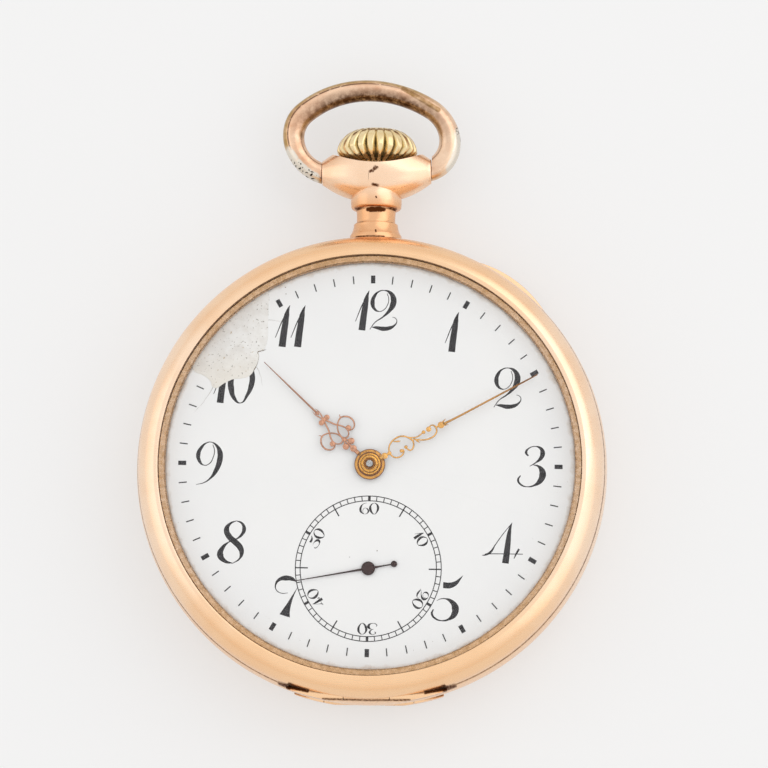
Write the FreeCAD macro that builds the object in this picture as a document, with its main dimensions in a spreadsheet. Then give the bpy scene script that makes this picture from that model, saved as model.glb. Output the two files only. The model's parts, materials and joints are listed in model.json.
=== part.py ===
"""Open face pocket watch, 19 lignes, stem wound, with small seconds.

The watch lies on its back. Z rises out of the dial, Y points to twelve o'clock and the crown, X to three o'clock.
The origin is the middle of the flat that the back cover rests on, on the axis of the dial. All sizes are millimetres.
The case and the hinges come first, then the pendant, bow and crown, then the dial side, then the movement.
"""
import FreeCAD
import Part
import Sketcher

import math
import os
import re

Vector = FreeCAD.Vector

# Driving dimensions: radii are taken from the piece's own axis, heights from the flat of the back cover.
CASE = {
    "band_edge_radius": 24.97, "band_bulge": 12.3,
    "band_bottom": 2.4, "band_top": 7.8, "band_bore": 21.75,
    "seat_height": 6.9, "seat_radius": 22.3, "rim_radius": 23.45, "rim_top": 8.95,
    "back_rim_inner": 22.9, "back_rim_radius": 23.5, "back_rim_bottom": 1.95,
    "bezel_radius": 24.9, "bezel_bottom": 7.85, "bezel_top": 10.9, "bezel_lip": 22.5, "bezel_crown": 3.4,
    "bezel_land": 22.85, "skirt_radius": 23.55, "flange_bottom": 9.2, "flange_radius": 21.75, "glass_seat": 9.85,
    "glass_radius": 22.42, "glass_edge": 0.6, "glass_dome": 1.9, "glass_hollow": 1.7, "glass_hollow_radius": 21.9,
    "cover_flat": 11.0, "cover_shoulder": 21.3, "cover_shoulder_height": 0.55, "cover_radius": 24.9,
    "cover_top": 2.35, "cover_wall": 0.45, "cover_dome": 62.0, "cover_edge_crown": 4.6, "cover_edge_bore": 23.6,
    "lip_curve": 10.8, "lip_height": 0.75, "lip_from": 40.0, "lip_to": 68.0, "lip_root": 24.55,
    "dust_flat": 10.0, "dust_bottom": 0.7, "dust_rise": 0.65, "dust_wall": 0.35, "dust_radius": 22.8,
    "dust_edge": 21.9, "dust_edge_bottom": 1.95,
}
HINGES = {
    "hinge_reach": 24.3, "front_hinge_height": 8.1, "back_hinge_height": 2.15, "knuckle_radius": 0.75,
    "knuckle_room": 0.83, "pin_radius": 0.34, "pin_bore": 0.38, "pin_half": 5.4, "hinge_clip": 25.3,
    "front_hinge_half": 9.7, "middle_knuckle": 2.42, "knuckle_gap": 0.06, "back_hinge_half": 8.0, "back_outer": 4.8, "back_inner": 1.6,
}
PENDANT = {
    "stem_height": 5.05, "foot_start": 23.4, "foot_radius": 2.8, "foot_end": 25.6, "step_place": 26.8,
    "step_radius": 2.38, "foot_curve": 2.4, "notch_depth": 0.16, "neck_place": 27.0, "neck_radius": 2.14,
    "neck_curve": 7.0, "collar_start": 28.45, "collar_radius": 2.74, "collar_curve": 0.5, "collar_edge": 0.22,
    "bow_axis": 32.7, "head_half": 5.92, "head_end_radius": 1.3, "head_radius": 3.0, "saddle_depth": 32.6,
    "saddle_radius": 5.2, "saddle_curve": 6.7, "stem_bore": 0.75, "bow_bore": 0.66, "bow_bore_depth": 1.3,
}
BOW = {
    "bow_wire": 1.18, "bow_start": 5.98, "bow_start_rise": 0.03, "bow_half": 8.35, "bow_widest": 36.3,
    "bow_top": 41.6, "bow_shoulder": 3.9, "bow_cant": 3.4, "bow_pin_radius": 0.6, "bow_pin_length": 1.15,
}
CROWN = {
    "crown_base": 33.5, "crown_waist": 2.6, "crown_radius": 4.38, "crown_belly": 34.85, "crown_height": 37.1,
    "crown_cap": 2.5, "crown_dome": 0.12, "crown_lower_curve": 2.4, "crown_upper_curve": 2.6, "flute_radius": 0.46,
    "flute_place": 4.6, "crown_bore": 0.55, "crown_bore_end": 35.9, "stem_radius": 0.55, "stem_square": 0.78,
    "stem_end": 7.6, "stem_square_start": 8.9, "stem_square_end": 12.4, "stem_pivot": 0.35,
}
DIAL = {
    "dial_radius": 22.0, "dial_bottom": 8.3, "dial_top": 9.1, "dial_hole": 1.2, "seconds_hole": 0.55,
    "seconds_place": 11.05, "dial_bevel": 0.35, "foot_circle": 17.6, "dial_foot_radius": 0.4,
    "dial_foot_length": 1.9,
}
HANDS = {
    "hour_level": 9.5, "minute_level": 9.85, "seconds_level": 9.22, "hand_thickness": 0.16,
    "hour_length": 15.8, "minute_length": 20.2, "seconds_length": 7.9, "seconds_tail": 2.8,
    "hour_hub": 1.63, "minute_hub": 1.21, "seconds_hub": 0.74, "hub_rise": 0.22, "needle_root": 0.24,
    "needle_tip": 0.12, "hour_turn": 46.5, "minute_turn": -61.1, "seconds_turn": 100.4, "seconds_root": 0.32,
    "seconds_rise": 0.06, "seconds_weight": 0.34, "scroll_wire": 0.16,
    "pipe_radius": 0.95, "pipe_bore": 0.64, "cannon_radius": 0.6, "cannon_bore": 0.37,
}
PLATE = {
    "plate_radius": 21.65, "plate_bottom": 5.6, "plate_top": 7.3, "plate_flange": 22.2, "flange_base": 6.92,
    "dial_rest": 20.3, "cavity": 3.2, "bridge_bottom": 2.1, "bridge_radius": 20.85, "bridge_foot": 18.95,
    "bridge_edge": 2.2, "train_edge": 1.6, "clutch_slot": 1.9, "clutch_slot_start": 8.3, "clutch_slot_end": 12.2,
    "clutch_slot_top": 6.9, "pinion_slot": 2.3, "pinion_slot_start": 12.45, "pinion_slot_end": 16.9,
    "boss_half": 0.9, "boss_start": 7.4, "boss_low": 4.4,
    "jewel_radius": 0.7, "jewel_hole": 0.16, "jewel_thickness": 0.3, "plate_jewel": 6.2, "screw_ring": 19.85,
    "screw_shank": 0.4, "screw_head": 0.8, "screw_head_height": 0.35, "screw_end": 6.6, "case_screw_ring": 21.2,
    "case_screw_head": 1.05, "case_screw_low": 2.5, "case_screw_high": 2.9, "lip_high": 2.95, "lip_radius": 22.35,
}
TRAIN = {
    "barrel_x": 9.6, "barrel_y": 3.0, "third_x": -3.9, "third_y": -6.6, "escape_x": -5.4, "escape_y": -12.3,
    "pallet_x": -8.9, "pallet_y": -10.57, "balance_x": -11.8, "balance_y": -7.4, "wheel_thickness": 0.2,
    "arbor_radius": 0.3, "pivot_radius": 0.14, "centre_level": 3.32, "third_level": 4.55, "fourth_level": 4.9,
    "escape_level": 5.25, "arbor_low": 2.2, "arbor_high": 6.4, "shoulder": 0.25, "escape_tip": 3.1,
    "barrel_radius": 8.2, "barrel_low": 3.7, "barrel_high": 5.42, "barrel_flange": 4.95, "barrel_wall": 0.32, "lid_thickness": 0.22,
    "barrel_journal": 0.6, "journal_room": 0.65, "barrel_core": 1.6, "spring_strip": 0.16, "spring_pitch": 1.9,
    "balance_radius": 7.0, "balance_rim": 0.75, "balance_low": 3.85, "balance_high": 4.4, "roller_radius": 1.3,
    "centre_arbor": 0.45, "centre_post": 0.34, "leaf_room": 0.05, "barrel_room": 0.06, "spring_room": 0.1,
    "spring_margin": 0.2,
}
ESCAPEMENT = {
    "pallet_hub": 0.55, "pallet_spread": 64.0, "pallet_arm_root": 0.26, "pallet_arm_end": 0.16, "stone_clear": 0.32,
    "stone_turn": 28.0, "stone_root": 0.14, "stone_end": 0.12, "fork_room": 1.15, "lever_root": 0.22,
    "lever_end": 0.14, "horn_reach": 0.45, "horn_spread": 40.0, "horn_root": 0.12, "horn_end": 0.08,
    "pallet_arbor": 0.22, "pallet_arbor_low": 5.08, "pallet_pivot_low": 4.84, "pallet_cock_low": 4.8,
    "pallet_cock_high": 5.02, "pallet_cock_half": 0.9, "pallet_cock_end": 4.6, "pallet_cock_foot": 2.9,
    "balance_arm": 0.9, "balance_arm_thickness": 0.25, "balance_arm_rise": 0.15, "balance_hub": 1.1,
    "balance_hub_thickness": 0.35, "balance_hub_rise": 0.1, "balance_screws": 12, "balance_screw_head": 0.26,
    "balance_screw_length": 0.3, "balance_screw_seat": 0.12, "roller_low": 4.88, "roller_thickness": 0.2,
    "impulse_radius": 0.16, "impulse_reach": 0.9, "impulse_low": 5.06, "impulse_length": 0.12,
    "collet_radius": 0.5, "collet_low": 3.38, "collet_thickness": 0.3, "hairspring_radius": 2.7,
    "hairspring_pitch": 0.52, "hairspring_strip": 0.1, "hairspring_low": 3.42, "hairspring_high": 3.66,
    "regulator_radius": 1.35, "regulator_bore": 0.78, "regulator_low": 1.78, "regulator_high": 2.04,
    "pointer_turn": 120.0, "pointer_start": 1.1, "pointer_end": 4.9, "pointer_root": 0.32, "pointer_tip": 0.12,
}
WINDING = {
    "crown_wheel_y": 9.3, "winding_low": 1.62, "winding_high": 2.04, "contrate_high": 2.84,
    "winding_pinion_radius": 2.0, "winding_pinion_start": 12.7, "winding_pinion_end": 14.6, "clutch_radius": 1.7,
    "clutch_start": 9.4, "clutch_end": 11.5, "clutch_groove": 1.1, "groove_start": 10.2, "groove_end": 10.75,
    "setting_y": 9.03, "motion_distance": 4.2, "motion_low": 7.42, "motion_high": 7.64, "hour_wheel_low": 7.86,
    "hour_wheel_high": 8.06, "click_x": 12.9, "click_y": 12.4, "click_radius": 1.0,
    "lever_x": 2.75, "lever_y": 15.0, "lever_pin_y": 15.5, "lever_low": 7.36, "lever_high": 7.62, "lever_pin": 0.2,
    "yoke_x": -6.2, "yoke_y": 12.9, "yoke_low": 4.9, "yoke_high": 5.2, "post_radius": 0.35, "post_bore": 0.4,
    "stem_groove": 0.38, "stem_groove_start": 15.2, "stem_groove_end": 15.8, "ratchet_screw_radius": 1.3,
    "ratchet_screw_height": 0.35, "crown_wheel_hub": 1.4, "crown_wheel_room": 0.05, "crown_screw_radius": 2.2,
    "crown_screw_height": 0.4, "crown_screw_room": 0.03, "contrate_width": 1.0, "contrate_step": 0.15,
    "stem_room": 0.05, "click_clear": 0.1, "click_root": 0.7, "click_end": 0.1, "click_lean": 0.05,
    "yoke_clear": 0.24, "spring_end": 0.12, "lever_pin_low": 5.52, "wheel_post": 0.28, "wheel_post_room": 0.32,
    "setting_bore": 0.4, "pipe_rise": 0.06, "cannon_rise": 0.1,
}
TEETH = {
    "barrel_teeth": 60, "centre_teeth": 64, "third_teeth": 60, "fourth_teeth": 60, "escape_teeth": 15,
    "centre_leaves": 10, "third_leaves": 8, "fourth_leaves": 8, "escape_leaves": 6, "cannon_leaves": 10,
    "minute_teeth": 30, "minute_leaves": 8, "hour_teeth": 32, "setting_teeth": 16, "ratchet_teeth": 42,
    "crown_wheel_teeth": 28, "winding_leaves": 13, "clutch_leaves": 12, "crown_flutes": 24,
}
GROUPS = (CASE, HINGES, PENDANT, BOW, CROWN, DIAL, HANDS, PLATE, TRAIN, ESCAPEMENT, WINDING, TEETH)

doc = FreeCAD.newDocument("pocket_watch")
sheet = doc.addObject("Spreadsheet::Sheet", "Sizes")
ALIASES = set()
for group in GROUPS:
    for alias, value in group.items():
        ALIASES.add(alias)
        row = len(ALIASES)
        sheet.set(f"A{row}", alias)
        sheet.set(f"B{row}", str(value))
        sheet.setAlias(f"B{row}", alias)
doc.recompute()


# ---------------------------------------------------------------- the sheet and the sketches

def bound(text):
    """Write a sum of size names as an expression on the sheet."""
    return re.sub(r"[a-z_]+", lambda word: "Sizes." + word[0] if word[0] in ALIASES else word[0], text)


def size(text):
    """Value, in millimetres or degrees, of a sum of size names."""
    return float(sheet.evalExpression(bound(text)))


def arc_between(start, end, radius, side):
    """Arc shorter than a half turn from start to end, with its centre on the left or right of the way."""
    chord = end - start
    half = chord.Length / 2
    across = Vector(-chord.y, chord.x, 0).normalize() * (1 if side == "left" else -1)
    centre = (start + end) * 0.5 + across * math.sqrt(radius ** 2 - half ** 2)
    crest = centre + ((start + end) * 0.5 - centre).normalize() * radius
    return Part.Arc(start, crest, end)


def outline(sketch, corners):
    """Draw one closed outline whose corners and radii are held by the sheet.

    A corner (x, y) is reached by a straight line, and (x, y, radius, side) by an arc, from the corner before it.
    """
    places = [Vector(size(corner[0]), size(corner[1]), 0) for corner in corners]
    first = len(sketch.Geometry)
    count = len(corners)
    ends = []
    for index, corner in enumerate(corners):
        start, end = places[index - 1], places[index]
        if len(corner) == 2:
            sketch.addGeometry(Part.LineSegment(start, end), False)
            ends.append((1, 2))
        else:
            sketch.addGeometry(arc_between(start, end, size(corner[2]), corner[3]), False)
            ends.append((1, 2) if corner[3] == "left" else (2, 1))
    for index, corner in enumerate(corners):
        edge, following = first + index, first + (index + 1) % count
        sketch.addConstraint(Sketcher.Constraint(
            "Coincident", edge, ends[index][1], following, ends[(index + 1) % count][0]))
        hold(sketch, Sketcher.Constraint("DistanceX", edge, ends[index][1], places[index].x), corner[0])
        hold(sketch, Sketcher.Constraint("DistanceY", edge, ends[index][1], places[index].y), corner[1])
        if len(corner) > 2:
            hold(sketch, Sketcher.Constraint("Radius", edge, size(corner[2])), corner[2])


def circle(sketch, x, y, radius):
    """Draw a circle held by the sheet."""
    edge = len(sketch.Geometry)
    sketch.addGeometry(Part.Circle(Vector(size(x), size(y), 0), Vector(0, 0, 1), size(radius)), False)
    hold(sketch, Sketcher.Constraint("DistanceX", edge, 3, size(x)), x)
    hold(sketch, Sketcher.Constraint("DistanceY", edge, 3, size(y)), y)
    hold(sketch, Sketcher.Constraint("Radius", edge, size(radius)), radius)


def hold(sketch, constraint, text):
    """Add a constraint and bind it to the sheet."""
    index = sketch.addConstraint(constraint)
    sketch.setExpression(f"Constraints[{index}]", bound(text))


# ---------------------------------------------------------------- bodies and their features

PIECES = []


def piece(label, x="0", y="0", z="0", turn=0.0):
    """New body, one piece of the watch, standing at a place bound to the sheet and turned about Z in degrees."""
    body = doc.addObject("PartDesign::Body", label)
    body.Label = label
    body.Placement.Rotation = FreeCAD.Rotation(Vector(0, 0, 1), turn)
    for axis, text in zip("xyz", (x, y, z)):
        if text != "0":
            body.setExpression(f"Placement.Base.{axis}", bound(text))
    PIECES.append(body)
    return body


def sketch_on(body, plane, offset="0"):
    """Sketch on one of the body's own origin planes, raised along that plane's normal."""
    sketch = body.newObject("Sketcher::SketchObject", "Profile")
    support = [item for item in body.Origin.OriginFeatures if item.Role == plane + "_Plane"][0]
    sketch.AttachmentSupport = [(support, "")]
    sketch.MapMode = "FlatFace"
    if offset != "0":
        sketch.setExpression("AttachmentOffset.Base.z", bound(offset))
    return sketch


def turned(body, corners, cut=False, axis="V_Axis", plane="XZ"):
    """Full turn of an outline about the upright or the level axis of its sketch, added or cut."""
    sketch = sketch_on(body, plane)
    outline(sketch, corners)
    feature = body.newObject("PartDesign::Groove" if cut else "PartDesign::Revolution", "Turning")
    feature.Profile = sketch
    feature.ReferenceAxis = (sketch, [axis])
    feature.Angle = 360
    return feature


def raised(body, low, high, corners=(), circles=(), cut=False, plane="XY"):
    """Outline or circles taken straight from one height to another along the plane's normal, added or cut."""
    sketch = sketch_on(body, plane, low)
    if corners:
        outline(sketch, corners)
    for x, y, radius in circles:
        circle(sketch, x, y, radius)
    feature = body.newObject("PartDesign::Pocket" if cut else "PartDesign::Pad", "Rise")
    feature.Profile = sketch
    feature.setExpression("Length", bound(f"({high}) - ({low})"))
    feature.Reversed = cut
    return feature


def around(body, feature, count):
    """Repeat a feature about the upright axis of the sketch it came from."""
    pattern = body.newObject("PartDesign::PolarPattern", "Ring")
    pattern.Originals = [feature]
    pattern.Axis = (feature.Profile[0], ["N_Axis"])
    pattern.Angle = 360
    pattern.setExpression("Occurrences", bound(count))
    body.Tip = pattern
    return pattern


def box_corners(half, near, far):
    """Corners of a rectangle that reaches as far each side of Y, between two places along it."""
    return [(f"-({half})", near), (half, near), (half, far), (f"-({half})", far)]


def disc(radius, low, high, bore="0"):
    """Corners of a plain washer's section."""
    return [(bore, low), (radius, low), (radius, high), (bore, high)]


def solid(label, shape, x="0", y="0", z="0", turn=0.0, tilt=0.0):
    """Piece whose outline is worked out tooth by tooth or coil by coil, standing at its own axis.

    It is turned about Z, then tilted about X, both in degrees.
    """
    feature = doc.addObject("Part::Feature", label)
    feature.Label = label
    feature.Shape = shape
    spin = FreeCAD.Rotation(Vector(1, 0, 0), tilt).multiply(FreeCAD.Rotation(Vector(0, 0, 1), turn))
    feature.Placement = FreeCAD.Placement(Vector(size(x), size(y), size(z)), spin)
    PIECES.append(feature)
    return feature


# ---------------------------------------------------------------- the case

def knuckles(body, height, spans):
    """Hinge knuckles on the X axis line of a hinge, each given by its two ends."""
    for start, end in spans:
        raised(body, start, end, circles=[("-hinge_reach", height, "knuckle_radius")], plane="YZ")


def hinge_room(body, height, spans):
    """Round room for the other leaf's knuckles."""
    for start, end in spans:
        raised(body, start, end, circles=[("-hinge_reach", height, "knuckle_room")], plane="YZ", cut=True)


def trim_hinge(body, height, half):
    """Bore a hinge for its pin and turn its knuckles down to the round of the case."""
    reach = f"min({half}; pin_half + knuckle_gap)"
    raised(body, f"-{reach}", reach, circles=[("-hinge_reach", height, "pin_bore")], plane="YZ", cut=True)
    low, high = f"{height} - knuckle_room", f"{height} + knuckle_room"
    turned(body, [("hinge_clip", low), ("hinge_clip + 2", low), ("hinge_clip + 2", high), ("hinge_clip", high)],
           cut=True)


FRONT_OUTER = [
    ("-front_hinge_half", "-middle_knuckle - knuckle_gap"),
    ("middle_knuckle + knuckle_gap", "front_hinge_half")]
FRONT_MIDDLE = [("-middle_knuckle", "middle_knuckle")]
BACK_OUTER = [("-back_hinge_half", "-back_outer - knuckle_gap"), ("back_outer + knuckle_gap", "back_hinge_half")]
BACK_INNER = [("-back_outer", "-back_inner - knuckle_gap"), ("back_inner + knuckle_gap", "back_outer")]
BACK_MIDDLE = [("-back_inner", "back_inner")]


def case_band():
    """Middle of the case: the bulged ring that the movement, both covers and the bezel close on."""
    body = piece("case_band")
    turned(body, [
        ("lip_radius", "band_bottom"), ("back_rim_inner", "band_bottom"), ("back_rim_inner", "back_rim_bottom"),
        ("back_rim_radius", "back_rim_bottom"), ("back_rim_radius", "band_bottom"),
        ("band_edge_radius", "band_bottom"), ("band_edge_radius", "band_top", "band_bulge", "left"),
        ("rim_radius", "band_top"), ("rim_radius", "rim_top"), ("seat_radius", "rim_top"),
        ("seat_radius", "seat_height"), ("band_bore", "seat_height"), ("band_bore", "lip_high"),
        ("lip_radius", "lip_high")])
    hinge_room(body, "front_hinge_height", [("-middle_knuckle - knuckle_gap", "middle_knuckle + knuckle_gap")])
    hinge_room(body, "back_hinge_height", [("-back_outer - knuckle_gap", "back_outer + knuckle_gap")])
    raised(body, "band_bottom - 1", "band_bottom",
           box_corners("back_inner + knuckle_gap", "-back_rim_radius - 1", "-back_rim_inner + 0.5"), cut=True)
    knuckles(body, "front_hinge_height", FRONT_OUTER)
    knuckles(body, "back_hinge_height", BACK_OUTER)
    trim_hinge(body, "front_hinge_height", "front_hinge_half")
    trim_hinge(body, "back_hinge_height", "back_hinge_half")
    stem_way = turned(body, [("0", "20"), ("stem_bore", "20"), ("stem_bore", "26"), ("0", "26")],
                      cut=True, plane="XY")
    stem_way.Profile[0].setExpression("AttachmentOffset.Base.z", bound("stem_height"))


def bezel():
    """Front ring that holds the glass, snapped over the rim of the band and hinged at six o'clock."""
    body = piece("bezel")
    turned(body, [
        ("skirt_radius", "bezel_bottom"), ("bezel_radius", "bezel_bottom"),
        ("bezel_land", "bezel_top", "bezel_crown", "left"), ("bezel_lip", "bezel_top - 0.06"),
        ("bezel_lip", "glass_seat"), ("flange_radius + 0.15", "glass_seat"), ("flange_radius", "flange_bottom"),
        ("skirt_radius", "flange_bottom")])
    hinge_room(body, "front_hinge_height", [
        ("-front_hinge_half - 0.3", "-middle_knuckle"), ("middle_knuckle", "front_hinge_half + 0.3")])
    knuckles(body, "front_hinge_height", FRONT_MIDDLE)
    trim_hinge(body, "front_hinge_height", "middle_knuckle")


def crystal():
    """Glass, domed a little, resting on the seat inside the bezel."""
    body = piece("crystal")
    base = "glass_seat + 0.02"
    turned(body, [
        ("0", f"{base} + glass_hollow"),
        ("glass_hollow_radius", base, "(glass_hollow_radius^2 + glass_hollow^2) / (2 * glass_hollow)", "right"),
        ("glass_radius", base), ("glass_radius", f"{base} + glass_edge"),
        ("0", f"{base} + glass_edge + glass_dome", "(glass_radius^2 + glass_dome^2) / (2 * glass_dome)", "left")])


def back_cover():
    """Outer back: a shallow dish with a thumb lip beside the pendant, on the two inner knuckles of its hinge."""
    body = piece("back_cover")
    inner_shoulder = "cover_shoulder_height + cover_wall"
    turned(body, [
        ("0", "0"), ("cover_flat", "0"), ("cover_shoulder", "cover_shoulder_height", "cover_dome * 1.2", "left"),
        ("cover_radius", "cover_top", "cover_edge_crown", "left"), ("cover_edge_bore", "cover_top"),
        ("cover_edge_bore", "cover_top - 0.6"), ("cover_shoulder", inner_shoulder),
        ("cover_flat", "cover_wall"), ("0", "cover_wall")])
    thumb_lip(body)
    hinge_room(body, "back_hinge_height", [
        ("-back_hinge_half - 0.3", "-back_outer"), ("-back_inner - knuckle_gap", "back_inner + knuckle_gap"),
        ("back_outer", "back_hinge_half + 0.3")])
    raised(body, "dust_edge_bottom - knuckle_gap", "cover_top",
           box_corners("back_inner + knuckle_gap", "-hinge_reach", "-cover_edge_bore + 0.2"), cut=True)
    knuckles(body, "back_hinge_height", BACK_INNER)
    trim_hinge(body, "back_hinge_height", "back_outer")


def thumb_lip(body):
    """Crescent on the edge of the back cover that a thumbnail opens it by."""
    sketch = sketch_on(body, "XY", "cover_top - lip_height")
    start, end = [(f"lip_root * cos({angle} * 1deg)", f"lip_root * sin({angle} * 1deg)")
                  for angle in ("lip_from", "lip_to")]
    outline(sketch, [(*start, "lip_root", "right"), (*end, "lip_curve", "left")])
    feature = body.newObject("PartDesign::Pad", "ThumbLip")
    feature.Profile = sketch
    feature.setExpression("Length", bound("lip_height"))


def dust_cover():
    """Inner back: a thin dish inside the outer back, on the middle knuckle of the same hinge."""
    body = piece("dust_cover")
    turned(body, [
        ("0", "dust_bottom"), ("dust_flat", "dust_bottom"), ("dust_edge", "dust_bottom + dust_rise"),
        ("dust_radius", "dust_edge_bottom"), ("dust_radius", "cover_top"), ("dust_edge - 0.5", "cover_top"),
        ("dust_edge - 0.5", "dust_bottom + dust_rise + dust_wall"),
        ("dust_flat", "dust_bottom + dust_wall"), ("0", "dust_bottom + dust_wall")])
    raised(body, "cover_top - 0.4", "cover_top", box_corners("back_inner", "-hinge_reach", "-dust_radius + 0.6"))
    knuckles(body, "back_hinge_height", BACK_MIDDLE)
    trim_hinge(body, "back_hinge_height", "back_inner")


def hinge_pin(label, height):
    """Steel pin through the knuckles of one hinge."""
    body = piece(label)
    raised(body, "-pin_half", "pin_half", circles=[("-hinge_reach", height, "pin_radius")], plane="YZ")


# ---------------------------------------------------------------- pendant, bow and crown

def pendant():
    """Neck and head soldered to the band: the stem runs up its middle and the bow turns in its two ends."""
    body = piece("pendant", z="stem_height")
    turned(body, [
        ("0", "foot_start"), ("foot_radius", "foot_start"), ("foot_radius", "foot_end"),
        ("step_radius", "step_place", "foot_curve", "right"), ("step_radius - notch_depth", "step_place"),
        ("neck_radius", "neck_place"), ("neck_radius", "collar_start", "neck_curve", "right"),
        ("collar_radius - collar_edge", "collar_start"),
        ("collar_radius", "collar_start + collar_edge", "collar_curve", "left"),
        ("collar_radius", "bow_axis - 2 * collar_edge"), ("0", "bow_axis")], plane="XY")
    head = sketch_on(body, "XY")
    outline(head, [
        ("-head_half", "bow_axis"), ("-head_half", "bow_axis - head_end_radius"),
        ("head_half", "bow_axis - head_end_radius",
         "(head_half^2 + (head_radius - head_end_radius)^2) / (2 * (head_radius - head_end_radius))", "left"),
        ("head_half", "bow_axis")])
    spindle = body.newObject("PartDesign::Revolution", "Head")
    spindle.Profile = head
    spindle.ReferenceAxis = (head, ["Edge1"])
    spindle.Angle = 360
    turned(body, [
        ("0", "saddle_depth"),
        ("saddle_radius", "saddle_depth + saddle_curve - sqrt(saddle_curve^2 - saddle_radius^2)", "saddle_curve",
         "left"), ("saddle_radius", "bow_axis + head_radius + 1"), ("0", "bow_axis + head_radius + 1")],
        cut=True, plane="XY")
    turned(body, [("0", "foot_start - 1"), ("stem_bore", "foot_start - 1"), ("stem_bore", "bow_axis + head_radius"),
                  ("0", "bow_axis + head_radius")], cut=True, plane="XY")
    for side in ("-head_half", "head_half - bow_bore_depth"):
        raised(body, side, f"{side} + bow_bore_depth", circles=[("bow_axis", "0", "bow_bore")], plane="YZ", cut=True)
    half = "(band_top - band_bottom) / 2 + 0.2"
    turned(body, [
        ("0", f"-({half})"), ("band_edge_radius", f"-({half})"),
        ("band_edge_radius", half, "band_bulge", "left"), ("0", half)], cut=True)


def bow():
    """Oval wire ring, a little askew from wear, that swings on two pins in the ends of the pendant's head."""
    wire, start, rise = size("bow_wire"), size("bow_start"), size("bow_start_rise")
    half, widest, top = size("bow_half"), size("bow_widest"), size("bow_top")
    axis, shoulder = size("bow_axis"), size("bow_shoulder")
    foot = Vector(start, axis + rise, 0)
    side = Vector(half, widest, 0)
    crest = Vector(0, top, 0)
    reach, drop = side.x - foot.x, side.y - foot.y
    lower = (reach ** 2 + drop ** 2) / (2 * reach)
    span = half - shoulder
    rise_over = top - widest
    upper = (span ** 2 + rise_over ** 2 - shoulder ** 2) / (2 * (rise_over - shoulder))
    turn = math.atan2(span, upper - rise_over)
    joint = Vector(0, top - upper, 0) + Vector(math.sin(turn), math.cos(turn), 0) * upper
    right = [arc_between(foot, side, lower, "left"), arc_between(side, joint, shoulder, "left"),
             arc_between(joint, crest, upper, "left")]
    edges = [arc.toShape() for arc in right]
    mirrored = [edge.mirror(Vector(0, 0, 0), Vector(1, 0, 0)) for edge in edges]
    path = Part.Wire(Part.__sortEdges__(edges + mirrored))
    lower_centre = Vector(side.x - lower, side.y, 0)
    along = Vector(-(foot - lower_centre).y, (foot - lower_centre).x, 0)
    section = Part.Wire([Part.makeCircle(wire, foot, along)])
    ring = path.makePipeShell([section], True, False)
    ring.rotate(Vector(0, axis, 0), Vector(0, 0, 1), size("bow_cant"))
    room = Part.makeBox(2 * start, 8, 8, Vector(-start, axis - 4, -4))
    ring = ring.cut(room)
    pin, length = size("bow_pin_radius"), size("bow_pin_length")
    for way in (-1, 1):
        peg = Part.makeCylinder(pin, length + wire, Vector(way * (start + wire), axis, 0), Vector(-way, 0, 0))
        ring = ring.fuse(peg)
    solid("bow", ring.removeSplitter(), z="stem_height")


def crown():
    """Fluted winding button."""
    body = piece("crown", z="stem_height")
    turned(body, [
        ("0", "crown_base"), ("crown_waist", "crown_base"),
        ("crown_radius", "crown_belly", "crown_lower_curve", "left"),
        ("crown_cap", "crown_height", "crown_upper_curve", "left"), ("0", "crown_height + crown_dome")], plane="XY")
    sketch = sketch_on(body, "XZ", "-crown_base + 0.5")
    circle(sketch, "flute_place", "0", "flute_radius")
    flute = body.newObject("PartDesign::Pocket", "Flute")
    flute.Profile = sketch
    flute.setExpression("Length", bound("crown_height - crown_base + 1"))
    around(body, flute, "crown_flutes")
    turned(body, [("0", "crown_base - 1"), ("crown_bore", "crown_base - 1"), ("crown_bore", "crown_bore_end"),
                  ("0", "crown_bore_end")], cut=True, plane="XY")


def winding_stem():
    """Steel stem: pivot, square for the sliding pinion, round shank and the thread in the crown."""
    body = piece("winding_stem", z="stem_height")
    turned(body, [
        ("0", "stem_end"), ("stem_pivot", "stem_end"), ("stem_pivot", "stem_square_end"),
        ("stem_radius", "stem_square_end"), ("stem_radius", "stem_groove_start"),
        ("stem_groove", "stem_groove_start"), ("stem_groove", "stem_groove_end"),
        ("stem_radius", "stem_groove_end"), ("stem_radius", "crown_bore_end"), ("0", "crown_bore_end")], plane="XY")
    half = "stem_square / 2"
    sketch = sketch_on(body, "XZ", "-stem_square_start")
    outline(sketch, box_corners(half, f"-{half}", half))
    square = body.newObject("PartDesign::Pad", "Square")
    square.Profile = sketch
    square.setExpression("Length", bound("stem_square_end - stem_square_start"))
    square.Reversed = True


# ---------------------------------------------------------------- toothed wheels

def polar(radius, turn):
    """Point at a radius and an angle in radians."""
    return Vector(radius * math.cos(turn), radius * math.sin(turn), 0)


def toothed_outline(teeth, pitch_radius, phase=0.0, reach=0.5, depth=0.7, lean=0.0):
    """Closed outline of a wheel with pointed teeth; phase is how far round, in teeth, the first tip stands."""
    module = 2 * pitch_radius / teeth
    tip, root = pitch_radius + reach * module, pitch_radius - depth * module
    step = 2 * math.pi / teeth
    points = []
    for tooth in range(teeth):
        middle = (tooth + phase) * step
        points.append(polar(root, middle - 0.27 * step))
        points.append(polar(tip, middle + lean * step))
        points.append(polar(root, middle + 0.27 * step))
    return Part.makePolygon(points + points[:1])


def ring_wire(radius):
    """Circular wire about the axis."""
    return Part.Wire([Part.makeCircle(radius)])


def window(inner, outer, start, end):
    """Opening between two arms of a wheel, bounded by two radii and two angles."""
    middle = (start + end) / 2
    return Part.Wire([
        Part.Arc(polar(outer, start), polar(outer, middle), polar(outer, end)).toShape(),
        Part.LineSegment(polar(outer, end), polar(inner, end)).toShape(),
        Part.Arc(polar(inner, end), polar(inner, middle), polar(inner, start)).toShape(),
        Part.LineSegment(polar(inner, start), polar(outer, start)).toShape()])


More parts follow.
